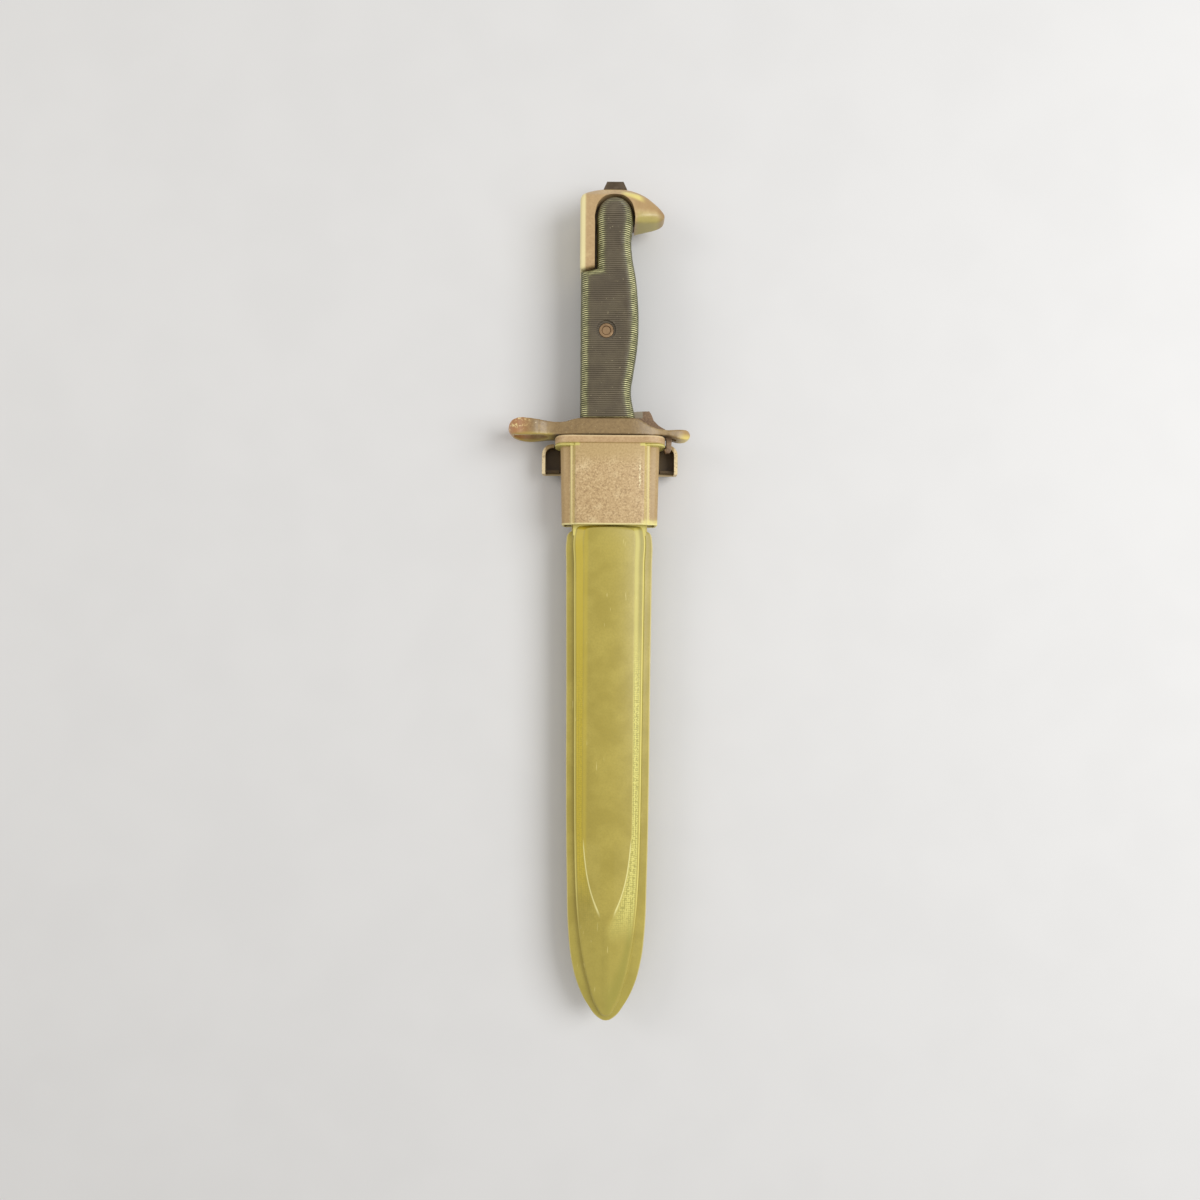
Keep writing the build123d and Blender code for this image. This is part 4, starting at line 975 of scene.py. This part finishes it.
# %% Grip screw
SCREW_TOP = 10.6
HEAD_R = 3.4
SHANK_R = 1.8
SHANK_LENGTH = 16.4
screw = rod(HEAD_R, 2.0, (SCREW_U, SCREW_V, SCREW_TOP - 1), 64)
screw.name = "grip_screw_dished"
pick(screw, lambda co: co.z > SCREW_TOP - 0.01)
bpy.ops.mesh.bevel(offset=0.5, segments=4, affect="EDGES")
pick(screw, lambda co: co.z > SCREW_TOP - 0.01)
bpy.ops.mesh.inset(thickness=0.75)
bpy.ops.mesh.inset(thickness=0.12)
bpy.ops.transform.translate(value=(0, 0, -0.5))
bpy.ops.mesh.inset(thickness=0.25)
bpy.ops.transform.translate(value=(0, 0, 0.25))
pick(screw, lambda co: co.z < SCREW_TOP - 1.9)
bpy.ops.mesh.inset(thickness=HEAD_R - SHANK_R)
bpy.ops.mesh.extrude_region_move(TRANSFORM_OT_translate={"value": (0, 0, -SHANK_LENGTH)})
bpy.ops.object.mode_set(mode="OBJECT")
seat(screw, "knife", ["grip_screw"], COPPER, 35)

# %% Thumb catch
LEVER_HALF = 1.9
PAD_U = 17.4
lever_loop = [(7.95, 9.4), (11.5, 8.8), (13.5, 7.2), (16.0, 5.6), (19.0, 4.3), (22.0, 2.6), (24.0, 1.6),
              (25.4, 0.8), (26.3, -1.2), (26.3, -4.9), (25.25, -5.3), (26.0, -7.0), (28.0, -6.9),
              (28.6, -5.6),
              (28.9, -0.6), (29.1, 1.6), (27.8, 2.8), (25.2, 4.2), (22.6, 5.8), (20.4, 8.0), (19.2, 11.0),
              (18.2, 12.4), (9.6, 12.0), (9.6, 14.0), (7.95, 14.0)]
catch = plate("thumb_catch_lever", [lever_loop], "front", -LEVER_HALF, LEVER_HALF, 0.3)
pad = plate("pad", [rounded_box(1.8, 9.2, 13.0, 1.2)], "front", -4.5, 4.5, 0.8)
pick(pad, lambda co: True)
bpy.ops.transform.translate(value=(PAD_U, 0, 0))
bpy.ops.object.mode_set(mode="OBJECT")
combine(catch, pad, "UNION")
combine(catch, block("saw_cut", (16.2, 9.4, 3.2), (16.6, 14, 6)), "DIFFERENCE")
seat(catch, "catch", ["thumb_catch"], CATCH, 35)

# %% [markdown]
# ## Floor, light and camera
#
# The floor is plain and pale. One large soft lamp to the right and above casts the faint shadow
# to the left, a second, weaker one from the left picks out the other edges, and the sky fills in.
# The camera looks straight down from a little under half a metre, turned a touch, with a short lens.

# %% Floor
bpy.ops.object.select_all(action="DESELECT")
bpy.ops.mesh.primitive_plane_add(size=6, location=(0, 0, 0))
floor = bpy.context.object
floor.name = "floor"


def floor_finish():
    material, place, u, v, w = begin("pale_paper")
    grain = cloud(place, 40, 2.0)
    colour = blend(rise(grain, 0.3, 0.7), shade(217, 217, 217), shade(219, 219, 219))
    complete(place, colour, 0.8 + grain * 0.05, grain, 0.01, specular=0.2)
    return material


floor.data.materials.append(floor_finish())


# %% Light
def lamp(name, place, size, power, colour):
    """A square soft lamp that looks at the middle of the object."""
    light = bpy.data.lights.new(name, "AREA")
    light.shape = "SQUARE"
    light.size = size
    light.energy = power
    light.color = colour
    holder = bpy.data.objects.new(name, light)
    holder.location = place
    aim = Vector((0, 0.02, 0)) - Vector(place)
    holder.rotation_euler = aim.to_track_quat("-Z", "Y").to_euler()
    bpy.context.scene.collection.objects.link(holder)


lamp("key_right", (0.75, 0.15, 0.85), 0.7, 8.3, (0.97, 0.985, 1.0))
lamp("rim_left", (-0.8, 0.35, 0.6), 0.4, 1.6, (1.0, 0.99, 0.97))
world = bpy.data.worlds.new("studio")
bpy.context.scene.world = world
world.use_nodes = True
world.node_tree.nodes["Background"].inputs["Color"].default_value = (1.0, 0.965, 0.92, 1)
world.node_tree.nodes["Background"].inputs["Strength"].default_value = 0.60

# %% Camera
CAMERA_HEIGHT = 0.435
lens = bpy.data.cameras.new("camera")
lens.sensor_width = 36
lens.lens = 26.9
lens.clip_start = 0.01
camera = bpy.data.objects.new("camera", lens)
camera.location = (0.0009, 0.0007, CAMERA_HEIGHT)
camera.rotation_euler = (0, 0, math.radians(0.43))
bpy.context.scene.collection.objects.link(camera)
bpy.context.scene.camera = camera
bpy.context.scene.view_settings.view_transform = "Standard"
